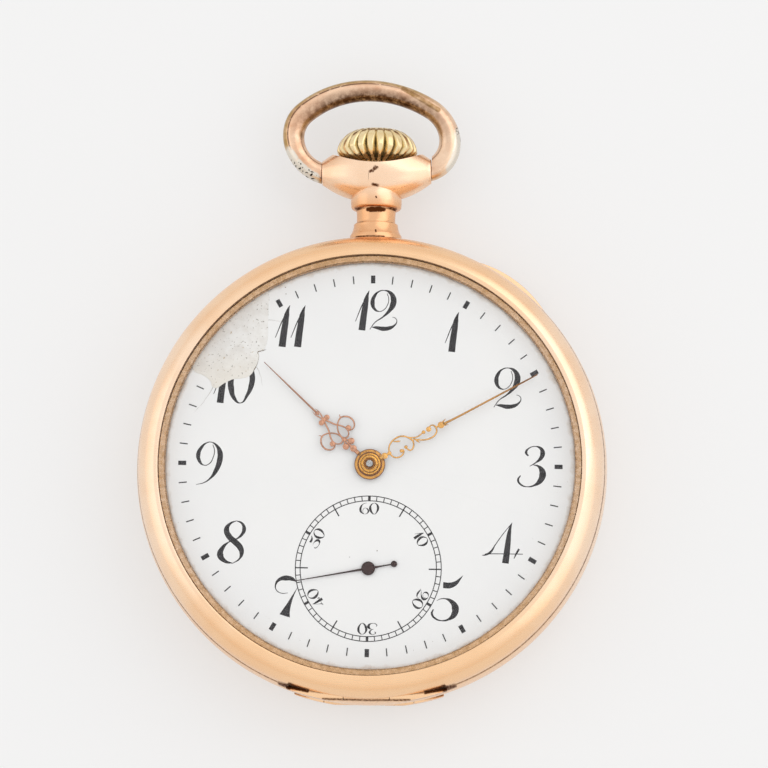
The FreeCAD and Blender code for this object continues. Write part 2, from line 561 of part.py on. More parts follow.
def arm_windows(arms, inner, outer, arm_width):
    """Openings that leave a number of arms between hub and rim."""
    openings = []
    for arm in range(arms):
        start = 2 * math.pi * arm / arms + arm_width / (inner + outer)
        end = 2 * math.pi * (arm + 1) / arms - arm_width / (inner + outer)
        openings.append(window(inner, outer, start, end))
    return openings


def slab(wires, low, high):
    """Flat piece between two heights from an outline and its openings."""
    face = Part.makeFace(wires, "Part::FaceMakerBullseye")
    face.translate(Vector(0, 0, low))
    return face.extrude(Vector(0, 0, high - low))


def spoked_wheel(label, teeth, pitch, level, place, phase=0.0, bore="arbor_radius"):
    """Train wheel with five arms, pierced for its arbor."""
    radius = size(pitch)
    wires = [toothed_outline(int(size(teeth)), radius, phase), ring_wire(size(bore))]
    wires += arm_windows(5, 0.22 * radius, 0.84 * radius, 0.12 * radius)
    low = size(level)
    return solid(label, slab(wires, low, low + size("wheel_thickness")), *place)


def arbor(top="arbor_high"):
    """Turned arbor of the train, shouldered at both jewels, its upper pivot carried on to a height."""
    low, high, shoulder = size("arbor_low"), size("arbor_high"), size("shoulder")
    core = Part.makeCylinder(size("arbor_radius"), high - low - 2 * shoulder, Vector(0, 0, low + shoulder))
    return core.fuse(Part.makeCylinder(size("pivot_radius"), size(top) - low, Vector(0, 0, low)))


def pinion(label, leaves, pitch, low, high, place, phase=0.0, top="arbor_high"):
    """Leaves and arbor cut in one piece of steel."""
    core = slab([toothed_outline(int(size(leaves)), size(pitch), phase, reach=0.45, depth=1.1)], size(low), size(high))
    return solid(label, core.fuse(arbor(top)).removeSplitter(), *place)


THIRD_PLACE = ("third_x", "third_y")
FOURTH_PLACE = ("0", "-seconds_place")
ESCAPE_PLACE = ("escape_x", "escape_y")
BARREL_PLACE = ("barrel_x", "barrel_y")
BALANCE_PLACE = ("balance_x", "balance_y")
PALLET_PLACE = ("pallet_x", "pallet_y")


def distance(a, b):
    """How far apart two upright axes stand."""
    return math.hypot(size(a[0]) - size(b[0]), size(a[1]) - size(b[1]))


def heading(a, b):
    """Direction from one upright axis to another, in radians."""
    return math.atan2(size(b[1]) - size(a[1]), size(b[0]) - size(a[0]))


def mesh(driver, driven, teeth, leaves):
    """Pitch radii and phases that put a driven pinion's gap on a tooth of its driver."""
    total = size(teeth) + size(leaves)
    apart = distance(driver, driven)
    way = heading(driver, driven) / (2 * math.pi)
    driver_phase = way * size(teeth)
    driven_phase = (way + 0.5) * size(leaves) + 0.5
    return apart * size(teeth) / total, apart * size(leaves) / total, driver_phase, driven_phase


def main_train():
    """Barrel to escape wheel: four meshes, each wheel above or below the next."""
    low_wheel, low_leaf, wheel_turn, leaf_turn = mesh(BARREL_PLACE, ("0", "0"), "barrel_teeth", "centre_leaves")
    barrel(low_wheel, wheel_turn)
    centre_pinion(low_leaf, leaf_turn)
    wheel, leaf, wheel_turn, leaf_turn = mesh(("0", "0"), THIRD_PLACE, "centre_teeth", "third_leaves")
    spoked_wheel("centre_wheel", "centre_teeth", str(wheel), "centre_level", ("0", "0"), wheel_turn, "0.5")
    pinion("third_pinion", "third_leaves", str(leaf), "centre_level - 0.05", "centre_level + 0.3", THIRD_PLACE,
           leaf_turn)
    wheel, leaf, wheel_turn, leaf_turn = mesh(THIRD_PLACE, FOURTH_PLACE, "third_teeth", "fourth_leaves")
    spoked_wheel("third_wheel", "third_teeth", str(wheel), "third_level", THIRD_PLACE, wheel_turn)
    pinion("fourth_pinion", "fourth_leaves", str(leaf), "third_level - 0.05", "third_level + 0.25", FOURTH_PLACE,
           leaf_turn, "seconds_level + hand_thickness + 0.1")
    wheel, leaf, wheel_turn, leaf_turn = mesh(FOURTH_PLACE, ESCAPE_PLACE, "fourth_teeth", "escape_leaves")
    spoked_wheel("fourth_wheel", "fourth_teeth", str(wheel), "fourth_level", FOURTH_PLACE, wheel_turn)
    pinion("escape_pinion", "escape_leaves", str(leaf), "fourth_level - 0.05", "fourth_level + 0.25", ESCAPE_PLACE,
           leaf_turn)
    escape_wheel()


def escape_wheel():
    """Fifteen leaning pointed teeth on a thin rim with four arms."""
    tip = size("escape_tip")
    step = 2 * math.pi / size("escape_teeth")
    points = []
    for tooth in range(int(size("escape_teeth"))):
        middle = tooth * step
        points += [polar(0.80 * tip, middle - 0.32 * step), polar(tip, middle + 0.10 * step),
                   polar(0.97 * tip, middle + 0.18 * step), polar(0.80 * tip, middle + 0.12 * step)]
    wires = [Part.makePolygon(points + points[:1]), ring_wire(size("arbor_radius"))]
    wires += arm_windows(4, 0.24 * tip, 0.68 * tip, 0.14 * tip)
    low = size("escape_level")
    solid("escape_wheel", slab(wires, low, low + size("wheel_thickness")), *ESCAPE_PLACE)


def barrel(pitch, phase):
    """Going barrel: drum with its toothed flange, snapped-in lid, arbor and coiled mainspring."""
    outer, wall, room = size("barrel_radius"), size("barrel_wall"), size("journal_room")
    low, high, lid = size("barrel_low"), size("barrel_high"), size("lid_thickness")
    drum = slab([toothed_outline(int(size("barrel_teeth")), pitch, phase)], size("barrel_flange"), high)
    drum = drum.fuse(Part.makeCylinder(outer, high - low, Vector(0, 0, low)))
    drum = drum.cut(Part.makeCylinder(outer - wall, high - low - wall, Vector(0, 0, low)))
    drum = drum.cut(Part.makeCylinder(room, high, Vector(0, 0, low)))
    solid("barrel_drum", drum.removeSplitter(), *BARREL_PLACE)

    body = piece("barrel_lid", *BARREL_PLACE)
    turned(body, disc("barrel_radius - barrel_wall", "barrel_low", "barrel_low + lid_thickness", "journal_room"))

    body = piece("barrel_arbor", *BARREL_PLACE)
    floor, ceiling = "barrel_low + lid_thickness + barrel_room", "barrel_high - barrel_wall - barrel_room"
    turned(body, [
        ("0", "winding_low"), ("barrel_journal", "winding_low"), ("barrel_journal", floor), ("barrel_core", floor),
        ("barrel_core", ceiling), ("barrel_journal", ceiling), ("barrel_journal", "arbor_high"),
        ("0", "arbor_high")])

    strip = size("spring_strip")
    coil = spiral(outer - wall - size("spring_margin"), size("spring_pitch"), 6, strip)
    room = size("spring_room")
    solid("mainspring", slab([coil], low + lid + room, high - wall - room), *BARREL_PLACE)


def spiral(radius, pitch, half_turns, strip):
    """Outline of a flat strip coiled inwards from a radius, made of half circles about two centres."""
    outward, inward = [], []
    for turn in range(half_turns):
        middle = radius - turn * pitch / 2
        centre = Vector(0 if turn % 2 == 0 else -pitch / 2, 0, 0)
        start = 0.0 if turn % 2 == 0 else math.pi
        for edges, reach in ((outward, middle + strip / 2), (inward, middle - strip / 2)):
            edges.append(Part.Arc(*[centre + polar(reach, start + part * math.pi / 2)
                                    for part in range(3)]).toShape())
    ends = [Part.makeLine(outward[0].valueAt(outward[0].FirstParameter), inward[0].valueAt(inward[0].FirstParameter)),
            Part.makeLine(outward[-1].valueAt(outward[-1].LastParameter),
                          inward[-1].valueAt(inward[-1].LastParameter))]
    return Part.Wire(Part.__sortEdges__(outward + inward + ends))


def centre_pinion(pitch, phase):
    """Centre arbor: it carries the centre wheel, and the hands' cannon pinion on its long upper end."""
    leaves = slab([toothed_outline(int(size("centre_leaves")), pitch, phase, reach=0.45, depth=1.1)],
                  size("barrel_flange - 3 * leaf_room"), size("barrel_high + leaf_room"))
    low, top = size("arbor_low"), size("minute_level + hand_thickness + hub_rise + 0.12")
    shaft = Part.makeCylinder(size("centre_arbor"), size("plate_top - arbor_low - shoulder - leaf_room"),
                              Vector(0, 0, size("arbor_low + shoulder - leaf_room")))
    shaft = shaft.fuse(Part.makeCylinder(size("centre_post"), top - low, Vector(0, 0, low)))
    solid("centre_pinion", leaves.fuse(shaft).removeSplitter())


# ---------------------------------------------------------------- escapement

def escapement():
    """Pallets, balance, hairspring and regulator."""
    toward_wheel = heading(PALLET_PLACE, ESCAPE_PLACE)
    toward_balance = heading(PALLET_PLACE, BALANCE_PLACE)
    low = size("escape_level")
    high = low + size("wheel_thickness")
    reach = distance(PALLET_PLACE, ESCAPE_PLACE)
    length = distance(PALLET_PLACE, BALANCE_PLACE)
    lever = Part.makeCylinder(size("pallet_hub"), high - low, Vector(0, 0, low))
    spread, stone_turn = math.radians(size("pallet_spread")), math.radians(size("stone_turn"))
    for side in (-1, 1):
        turn = toward_wheel + side * spread
        arm = bar(Vector(), polar(0.49 * reach, turn), size("pallet_arm_root"), size("pallet_arm_end"), low, high)
        stone_end = polar(reach, toward_wheel) + polar(size("escape_tip + stone_clear"),
                                                       toward_wheel + math.pi - side * stone_turn)
        stone = bar(polar(0.47 * reach, turn), stone_end, size("stone_root"), size("stone_end"), low, high)
        lever = lever.fuse(arm).fuse(stone)
    fork = polar(length - size("fork_room"), toward_balance)
    lever = lever.fuse(bar(Vector(), fork, size("lever_root"), size("lever_end"), low, high))
    for side in (-1, 1):
        horn = fork + polar(size("horn_reach"), toward_balance + side * math.radians(size("horn_spread")))
        lever = lever.fuse(bar(fork, horn, size("horn_root"), size("horn_end"), low, high))
    lever = lever.fuse(Part.makeCylinder(size("pallet_arbor"), size("arbor_high - shoulder - pallet_arbor_low"),
                                         Vector(0, 0, size("pallet_arbor_low"))))
    lever = lever.fuse(Part.makeCylinder(size("pivot_radius"), size("arbor_high - pallet_pivot_low"),
                                         Vector(0, 0, size("pallet_pivot_low"))))
    solid("pallet_fork", lever.removeSplitter(), *PALLET_PLACE)
    balance(toward_balance)

    low, high = size("regulator_low"), size("regulator_high")
    turn = math.radians(size("pointer_turn"))
    ring = slab([ring_wire(size("regulator_radius")), ring_wire(size("regulator_bore"))], low, high)
    pointer = bar(polar(size("pointer_start"), turn), polar(size("pointer_end"), turn), size("pointer_root"),
                  size("pointer_tip"), low, high)
    solid("regulator", ring.fuse(pointer).removeSplitter(), *BALANCE_PLACE)


def balance(toward_balance):
    """Balance wheel with its rim screws, its staff with roller and impulse jewel, and the hairspring."""
    rim, width = size("balance_radius"), size("balance_rim")
    low, high = size("balance_low"), size("balance_high")
    wheel = slab([ring_wire(rim), ring_wire(rim - width)], low, high)
    arm = size("balance_arm")
    wheel = wheel.fuse([
        Part.makeBox(2 * rim - width, arm, size("balance_arm_thickness"),
                     Vector(width / 2 - rim, -arm / 2, low + size("balance_arm_rise"))),
        Part.makeCylinder(size("balance_hub"), size("balance_hub_thickness"),
                          Vector(0, 0, low + size("balance_hub_rise")))])
    screws = int(size("balance_screws"))
    for screw in range(screws):
        head = hexagon(size("balance_screw_head"), size("balance_screw_length"))
        head.rotate(Vector(), Vector(0, 1, 0), 90)
        head.translate(Vector(rim - size("balance_screw_seat"), 0, (low + high) / 2))
        head.rotate(Vector(), Vector(0, 0, 1), 360 * (screw + 0.5) / screws)
        wheel = wheel.fuse(head)
    wheel = wheel.cut(Part.makeCylinder(size("arbor_radius"), 3, Vector(0, 0, low - 1)))
    solid("balance_wheel", wheel.removeSplitter(), *BALANCE_PLACE)

    jewel = Part.makeCylinder(size("impulse_radius"), size("impulse_length"), Vector(0, 0, size("impulse_low")))
    jewel.translate(polar(size("impulse_reach"), toward_balance + math.pi))
    roller = Part.makeCylinder(size("roller_radius"), size("roller_thickness"), Vector(0, 0, size("roller_low")))
    collet = Part.makeCylinder(size("collet_radius"), size("collet_thickness"), Vector(0, 0, size("collet_low")))
    solid("balance_staff", arbor().fuse([roller, jewel, collet]).removeSplitter(), *BALANCE_PLACE)
    coil = spiral(size("hairspring_radius"), size("hairspring_pitch"), 8, size("hairspring_strip"))
    solid("hairspring", slab([coil], size("hairspring_low"), size("hairspring_high")), *BALANCE_PLACE)


def hexagon(radius, height):
    """Six-sided rod standing on the origin."""
    corners = [polar(radius, math.pi * side / 3) for side in range(7)]
    return Part.Face(Part.makePolygon(corners)).extrude(Vector(0, 0, height))


def bar(start, end, start_half, end_half, low, high):
    """Flat tapered bar with round ends between two points."""
    along = end - start
    turn = math.atan2(along.y, along.x)
    side = polar(1, turn + math.pi / 2)
    forward = polar(1, turn)
    a, b = start + side * start_half, end + side * end_half
    c, d = end - side * end_half, start - side * start_half
    wire = Part.Wire([
        Part.makeLine(d, c), Part.Arc(c, end + forward * end_half, b).toShape(), Part.makeLine(b, a),
        Part.Arc(a, start - forward * start_half, d).toShape()])
    return slab([wire], low, high)


# ---------------------------------------------------------------- winding and setting

def about_stem(label, shape, start):
    """Piece turned about the stem, its length laid along Y from a place."""
    return solid(label, shape, "0", start, "stem_height", tilt=-90.0)


def winding_work():
    """Ratchet, crown wheel, click and the two pinions on the stem."""
    crown_place = ("0", "crown_wheel_y")
    low, high = size("winding_low"), size("winding_high")
    apart = distance(crown_place, BARREL_PLACE)
    total = size("ratchet_teeth + crown_wheel_teeth")
    way = heading(crown_place, BARREL_PLACE) / (2 * math.pi)
    ratchet_pitch = apart * size("ratchet_teeth") / total
    wheel = slab([toothed_outline(int(size("ratchet_teeth")), ratchet_pitch,
                                  (way + 0.5) * size("ratchet_teeth") + 0.5, reach=0.4, lean=0.12),
                  ring_wire(size("barrel_journal"))], low, high)
    solid("ratchet_wheel", wheel, *BARREL_PLACE)
    body = piece("ratchet_screw", *BARREL_PLACE)
    raised(body, "winding_low - ratchet_screw_height", "winding_low", circles=[("0", "0", "ratchet_screw_radius")])

    crown_pitch = apart - ratchet_pitch
    teeth = int(size("crown_wheel_teeth"))
    wheel = slab([toothed_outline(teeth, crown_pitch, way * teeth, reach=0.4),
                  ring_wire(size("crown_wheel_hub + crown_wheel_room"))], low, high)
    contrate_pitch = crown_pitch - size("contrate_step")
    contrate = slab([toothed_outline(teeth, contrate_pitch, 0, reach=0.3),
                     ring_wire(contrate_pitch - size("contrate_width"))], high, size("contrate_high"))
    solid("crown_wheel", wheel.fuse(contrate).removeSplitter(), *crown_place)
    body = piece("crown_wheel_screw", *crown_place)
    base, rest = "winding_low - crown_screw_height", "winding_low - crown_screw_room"
    turned(body, [("0", base), ("crown_screw_radius", base), ("crown_screw_radius", rest),
                  ("crown_wheel_hub", rest), ("crown_wheel_hub", "bridge_bottom"), ("0", "bridge_bottom")])

    span = size("winding_pinion_end - winding_pinion_start")
    leaves = slab([toothed_outline(int(size("winding_leaves")), size("winding_pinion_radius"), 0.5, reach=0.3),
                   ring_wire(size("stem_radius + stem_room"))], 0, span)
    about_stem("winding_pinion", leaves, "winding_pinion_start")

    start, end = size("clutch_start"), size("clutch_end")
    teeth = toothed_outline(int(size("clutch_leaves")), size("clutch_radius") - 0.15, 0.5, reach=0.35)
    clutch = slab([teeth], 0, end - start)
    groove = slab([ring_wire(size("clutch_radius") + 1), ring_wire(size("clutch_groove"))],
                  size("groove_start") - start, size("groove_end") - start)
    half = size("stem_square / 2 + stem_room")
    clutch = clutch.cut(groove).cut(Part.makeBox(2 * half, 2 * half, 4, Vector(-half, -half, -1)))
    about_stem("clutch_wheel", clutch.removeSplitter(), "clutch_start")

    click = Part.makeCylinder(size("click_radius"), high - low, Vector(0, 0, low))
    toward = heading(("click_x", "click_y"), BARREL_PLACE)
    gap = distance(("click_x", "click_y"), BARREL_PLACE) - ratchet_pitch * (1 + 0.8 / size("ratchet_teeth"))
    beak = bar(Vector(), polar(gap - size("click_clear + click_end"), toward + size("click_lean")),
               size("click_root"), size("click_end"), low, high)
    click = click.fuse(beak).cut(Part.makeCylinder(size("post_bore"), 3, Vector(0, 0, 1)))
    solid("click", click.removeSplitter(), "click_x", "click_y")
    tail = bar(Vector(-4.6, 3.4, 0), Vector(-1.35, 0.2, 0), 0.45, size("spring_end"), low, low + 0.25)
    solid("click_spring", tail, "click_x", "click_y")


def setting_work():
    """Lever, yoke and spring that the pulled stem moves, and the wheel that then turns the hands."""
    low, high = size("lever_low"), size("lever_high")
    pin = Vector(-size("lever_x"), size("lever_pin_y - lever_y"), 0)
    lever = bar(Vector(), pin, 0.95, 0.45, low, high).fuse(bar(Vector(), Vector(2.4, -1.6, 0), 0.8, 0.4, low, high))
    lever = lever.fuse(Part.makeCylinder(size("lever_pin"), size("(lever_low + lever_high) / 2 - lever_pin_low"),
                                         pin + Vector(0, 0, size("lever_pin_low"))))
    lever = lever.cut(Part.makeCylinder(size("post_bore"), 2, Vector(0, 0, low - 1)))
    solid("setting_lever", lever.removeSplitter(), "lever_x", "lever_y")

    low, high = size("yoke_low"), size("yoke_high")
    tip = Vector(size("-yoke_x - clutch_groove - yoke_clear"), size("(groove_start + groove_end) / 2 - yoke_y"), 0)
    yoke = bar(Vector(), tip, 0.9, 0.16, low, high).fuse(bar(Vector(), Vector(-2.2, 2.6, 0), 0.8, 0.4, low, high))
    yoke = yoke.cut(Part.makeCylinder(size("post_bore"), 2, Vector(0, 0, low - 1)))
    solid("yoke", yoke.removeSplitter(), "yoke_x", "yoke_y")
    spring = bar(Vector(-4.2, -1.6, 0), Vector(-2.9, 2.0, 0), 0.5, size("spring_end"), low, high)
    solid("yoke_spring", spring, "yoke_x", "yoke_y")


def motion_work():
    """Cannon pinion, minute wheel and hour wheel under the dial, and the setting wheel that drives them."""
    apart = size("motion_distance")
    low, high = size("motion_low"), size("motion_high")
    minute_place = ("0", "motion_distance")
    cannon_pitch = apart * size("cannon_leaves") / size("cannon_leaves + minute_teeth")
    quarter = 0.25
    leaves = int(size("cannon_leaves"))
    cannon = slab([toothed_outline(leaves, cannon_pitch, quarter * leaves, reach=0.45)], low - 0.02, high + 0.02)
    top = size("minute_level + hand_thickness + cannon_rise")
    cannon = cannon.fuse(Part.makeCylinder(size("cannon_radius"), top - low, Vector(0, 0, low)))
    cannon = cannon.cut(Part.makeCylinder(size("cannon_bore"), 6, Vector(0, 0, low - 1)))
    solid("cannon_pinion", cannon.removeSplitter())

    teeth = int(size("minute_teeth"))
    bore = ring_wire(size("wheel_post_room"))
    wheel = slab([toothed_outline(teeth, apart - cannon_pitch, -quarter * teeth + 0.5), bore], low, high)
    pitch = apart * size("minute_leaves") / size("minute_leaves + hour_teeth")
    leaves = int(size("minute_leaves"))
    pinion_leaves = slab([toothed_outline(leaves, pitch, -quarter * leaves, reach=0.45), bore],
                         high, size("dial_bottom") - 0.1)
    solid("minute_wheel", wheel.fuse(pinion_leaves).removeSplitter(), *minute_place)

    teeth = int(size("hour_teeth"))
    low, high = size("hour_wheel_low"), size("hour_wheel_high")
    wheel = slab([toothed_outline(teeth, apart - pitch, quarter * teeth + 0.5)], low, high)
    pipe = Part.makeCylinder(size("pipe_radius"), size("hour_level + hand_thickness + pipe_rise") - low,
                             Vector(0, 0, low))
    wheel = wheel.fuse(pipe).cut(Part.makeCylinder(size("pipe_bore"), 4, Vector(0, 0, low - 1)))
    solid("hour_wheel", wheel.removeSplitter())

    teeth = int(size("setting_teeth"))
    low, high = size("motion_low"), size("motion_high")
    radius = size("setting_y - motion_distance") - (apart - cannon_pitch)
    wheel = slab([toothed_outline(teeth, radius, -quarter * teeth), ring_wire(size("setting_bore"))], low, high)
    solid("setting_wheel", wheel, "0", "setting_y")


# ---------------------------------------------------------------- plates and bridges

DIAL_FEET = (60, 178, 300)
BARREL_BRIDGE_SCREWS = (20, 110, 160, -18)
TRAIN_BRIDGE_SCREWS = (290, 325)
COCK_SCREWS = (178.6,)
BRIDGE_SCREWS = BARREL_BRIDGE_SCREWS + TRAIN_BRIDGE_SCREWS + COCK_SCREWS
CASE_SCREWS = (135, 315)


def main_plate():
    """Main plate: lies on the band's seat by its flange, carries the dial on a raised ring and all the pivots."""
    body = piece("main_plate")
    turned(body, [
        ("0", "plate_bottom"), ("plate_radius", "plate_bottom"), ("plate_radius", "flange_base"),
        ("plate_flange", "flange_base"), ("plate_flange", "plate_top"), ("plate_radius - 0.1", "plate_top"),
        ("plate_radius - 0.1", "dial_bottom"), ("dial_rest", "dial_bottom"), ("dial_rest", "plate_top"),
        ("0", "plate_top")])
    posts = [("0", "motion_distance", "wheel_post"), ("0", "setting_y", "post_radius"),
             ("lever_x", "lever_y", "post_radius")]
    raised(body, "plate_top", "dial_bottom - 0.12", circles=posts)
    raised(body, "boss_low", "plate_bottom", box_corners("boss_half", "boss_start", "clutch_slot_start - 0.05"))
    raised(body, "yoke_low - 0.2", "plate_bottom", circles=[("yoke_x", "yoke_y", "post_radius")])
    raised(body, "plate_bottom", "clutch_slot_top",
           box_corners("clutch_slot", "clutch_slot_start", "clutch_slot_end"), cut=True)
    raised(body, "plate_bottom", "plate_top", [
        ("-pinion_slot", "pinion_slot_start"), ("lever_x - 0.6", "pinion_slot_start"),
        ("lever_x - 0.6", "pinion_slot_end"), ("-pinion_slot", "pinion_slot_end")], cut=True)
    raised(body, "plate_bottom", "plate_top", circles=[
        (*THIRD_PLACE, "jewel_radius"), (*FOURTH_PLACE, "jewel_radius"), (*ESCAPE_PLACE, "jewel_radius"),
        (*PALLET_PLACE, "jewel_radius"), (*BALANCE_PLACE, "jewel_radius"), (*BARREL_PLACE, "journal_room"),
        ("0", "0", "0.5")], cut=True)
    raised(body, "plate_top - 1.1", "plate_top", circles=[
        (f"foot_circle * cos({turn}deg)", f"foot_circle * sin({turn}deg)", "dial_foot_radius + 0.05")
        for turn in DIAL_FEET], cut=True)
    raised(body, "plate_bottom", "screw_end + 0.1",
           circles=screw_places("screw_ring", BRIDGE_SCREWS, "screw_shank")
           + screw_places("case_screw_ring", CASE_SCREWS, "screw_shank"), cut=True)
    level_bore(body, "clutch_slot_start - 2", "plate_radius + 2", "stem_bore")


def screw_places(ring, turns, radius):
    """Circles for a set of screws that stand on one ring."""
    return [(f"{ring} * cos({turn}deg)", f"{ring} * sin({turn}deg)", radius) for turn in turns]


def level_bore(body, start, end, radius):
    """Round way for the stem along Y."""
    way = turned(body, [("0", start), (radius, start), (radius, end), ("0", end)], cut=True, plane="XY")
    way.Profile[0].setExpression("AttachmentOffset.Base.z", bound("stem_height"))


def bridge(label, corners, holes, screws, notches=()):
    """Bridge cut from one block: a plate over the wheels and a foot along the edge of the movement."""
    body = piece(label)
    raised(body, "bridge_bottom", "plate_bottom", corners)
    raised(body, "cavity", "plate_bottom", circles=[("0", "0", "bridge_foot")], cut=True)
    raised(body, "bridge_bottom", "cavity", circles=holes, cut=True)
    raised(body, "bridge_bottom", "plate_bottom", circles=screw_places("screw_ring", screws, "screw_shank"), cut=True)
    raised(body, "bridge_bottom", "bridge_bottom + screw_head_height",
           circles=screw_places("screw_ring", screws, "screw_head"), cut=True)
    if notches:
        raised(body, "bridge_bottom", "plate_bottom",
               circles=screw_places("case_screw_ring", notches, "case_screw_head + 0.08"), cut=True)
    return body


def bridges():
    """Barrel bridge above, train bridge below, and the two cocks of the escapement."""
    top_x = "sqrt(bridge_radius^2 - bridge_edge^2)"
    body = bridge("barrel_bridge", [
        (f"-{top_x}", "bridge_edge", "bridge_radius", "left"), ("2.6", "bridge_edge"), ("6.2", "-4.2"),
        ("sqrt(bridge_radius^2 - 8^2)", "-8"), ("0", "bridge_radius", "bridge_radius", "left")],
        [(*BARREL_PLACE, "journal_room")], BARREL_BRIDGE_SCREWS, CASE_SCREWS[:1])
    raised(body, "bridge_bottom", "contrate_high + 0.12",
           circles=[("0", "crown_wheel_y", "5.0"), ("0", "crown_wheel_y", "1.7")], cut=True)
    raised(body, "bridge_bottom", "cavity",
           box_corners("pinion_slot", "pinion_slot_start", "winding_pinion_end + 0.2"), cut=True)
    raised(body, "winding_low", "bridge_bottom", circles=[("click_x", "click_y", "post_radius")])
    level_bore(body, "bridge_foot - 1", "bridge_radius + 1", "stem_bore")

    bridge("train_bridge", [
        ("-5.2", "train_edge"), ("2.2", "train_edge"), ("5.8", "-4.8"), ("sqrt(bridge_radius^2 - 8.7^2)", "-8.7"),
        ("0", "-bridge_radius", "bridge_radius", "right"),
        ("-6.3", "-sqrt(bridge_radius^2 - 6.3^2)", "bridge_radius", "right"), ("-6.8", "-12.9"), ("-5.2", "-6.4")],
        [("0", "0", "0.5"), (*THIRD_PLACE, "jewel_radius"), (*FOURTH_PLACE, "jewel_radius"),
         (*ESCAPE_PLACE, "jewel_radius")], TRAIN_BRIDGE_SCREWS, CASE_SCREWS[1:])
    balance_cock()

    away = math.degrees(heading(ESCAPE_PLACE, BALANCE_PLACE)) + 180
    body = piece("pallet_cock", *PALLET_PLACE, turn=away)
    low, high = "pallet_cock_low", "pallet_cock_high"
    raised(body, low, high, box_corners("pallet_cock_half", "-pallet_cock_end", "pallet_cock_half"))
    raised(body, high, "plate_bottom", box_corners("pallet_cock_half", "-pallet_cock_end", "-pallet_cock_foot"))
    raised(body, low, high, circles=[("0", "0", "jewel_hole")], cut=True)


def balance_cock():
    """Cock that reaches in from the edge over the balance."""
    body = piece("balance_cock")
    corners = [("-bridge_radius + 0.02", "-0.7"), ("-17.6", "-1.6"), ("balance_x - 1.9", "balance_y - 0.6"),
               ("balance_x + 1.7", "balance_y - 1.1", "2.1", "left"), ("-12.4", "-0.4"),
               ("-15.2", "train_edge - 0.1"), ("-sqrt(bridge_radius^2 - 1.5^2)", "train_edge - 0.1")]
    raised(body, "bridge_bottom", "cavity", corners)
    raised(body, "cavity", "plate_bottom", [
        ("-bridge_radius + 0.02", "-0.7"), ("-18.4", "-0.7"), ("-18.4", "train_edge - 0.1"),
        ("-sqrt(bridge_radius^2 - 1.5^2)", "train_edge - 0.1")])
    raised(body, "bridge_bottom", "cavity", circles=[(*BALANCE_PLACE, "jewel_radius")], cut=True)
    raised(body, "bridge_bottom", "plate_bottom", circles=screw_places("screw_ring", COCK_SCREWS, "screw_shank"),
           cut=True)
    raised(body, "bridge_bottom", "bridge_bottom + screw_head_height",
           circles=screw_places("screw_ring", COCK_SCREWS, "screw_head"), cut=True)


def jewels_and_screws():
    """Ruby bearings and the blued screws, each kind one group of alike solids."""
    rings = []
    bearing = slab([ring_wire(size("jewel_radius")), ring_wire(size("jewel_hole"))], 0, size("jewel_thickness"))
    for place in (THIRD_PLACE, FOURTH_PLACE, ESCAPE_PLACE, PALLET_PLACE, BALANCE_PLACE):
        levels = ["bridge_bottom", "plate_jewel"] if place != PALLET_PLACE else ["plate_jewel"]
        for level in levels:
            ring = bearing.copy()
            ring.translate(Vector(size(place[0]), size(place[1]), size(level)))
            rings.append(ring)
    solid("jewels", Part.Compound(rings))

    screws = []
    low = size("bridge_bottom")
    screw = Part.makeCylinder(size("screw_head"), size("screw_head_height"), Vector(0, 0, low)).fuse(
        Part.makeCylinder(size("screw_shank"), size("screw_end") - low, Vector(0, 0, low)))
    for turn in BRIDGE_SCREWS:
        copy = screw.copy()
        copy.translate(polar(size("screw_ring"), math.radians(turn)))
        screws.append(copy)
    solid("bridge_screws", Part.Compound(screws))

    low, high = size("case_screw_low"), size("case_screw_high")
    screw = Part.makeCylinder(size("case_screw_head"), high - low, Vector(0, 0, low)).fuse(
        Part.makeCylinder(size("screw_shank"), size("screw_end") - low, Vector(0, 0, low)))
    screws = []
    for turn in CASE_SCREWS:
        copy = screw.copy()
        copy.translate(polar(size("case_screw_ring"), math.radians(turn)))
        screws.append(copy)
    solid("case_screws", Part.Compound(screws))


# ---------------------------------------------------------------- dial and hands

def dial():
    """Enamelled copper disc on three feet."""
    body = piece("dial")
    turned(body, [
        ("0", "dial_bottom"), ("dial_radius", "dial_bottom"), ("dial_radius", "dial_top - dial_bevel"),
        ("dial_radius - dial_bevel", "dial_top"), ("0", "dial_top")])
    raised(body, "dial_bottom - dial_foot_length", "dial_bottom",
           circles=screw_places("foot_circle", DIAL_FEET, "dial_foot_radius"))
    raised(body, "dial_bottom", "dial_top", circles=[
        ("0", "0", "dial_hole"), ("0", "-seconds_place", "seconds_hole")], cut=True)


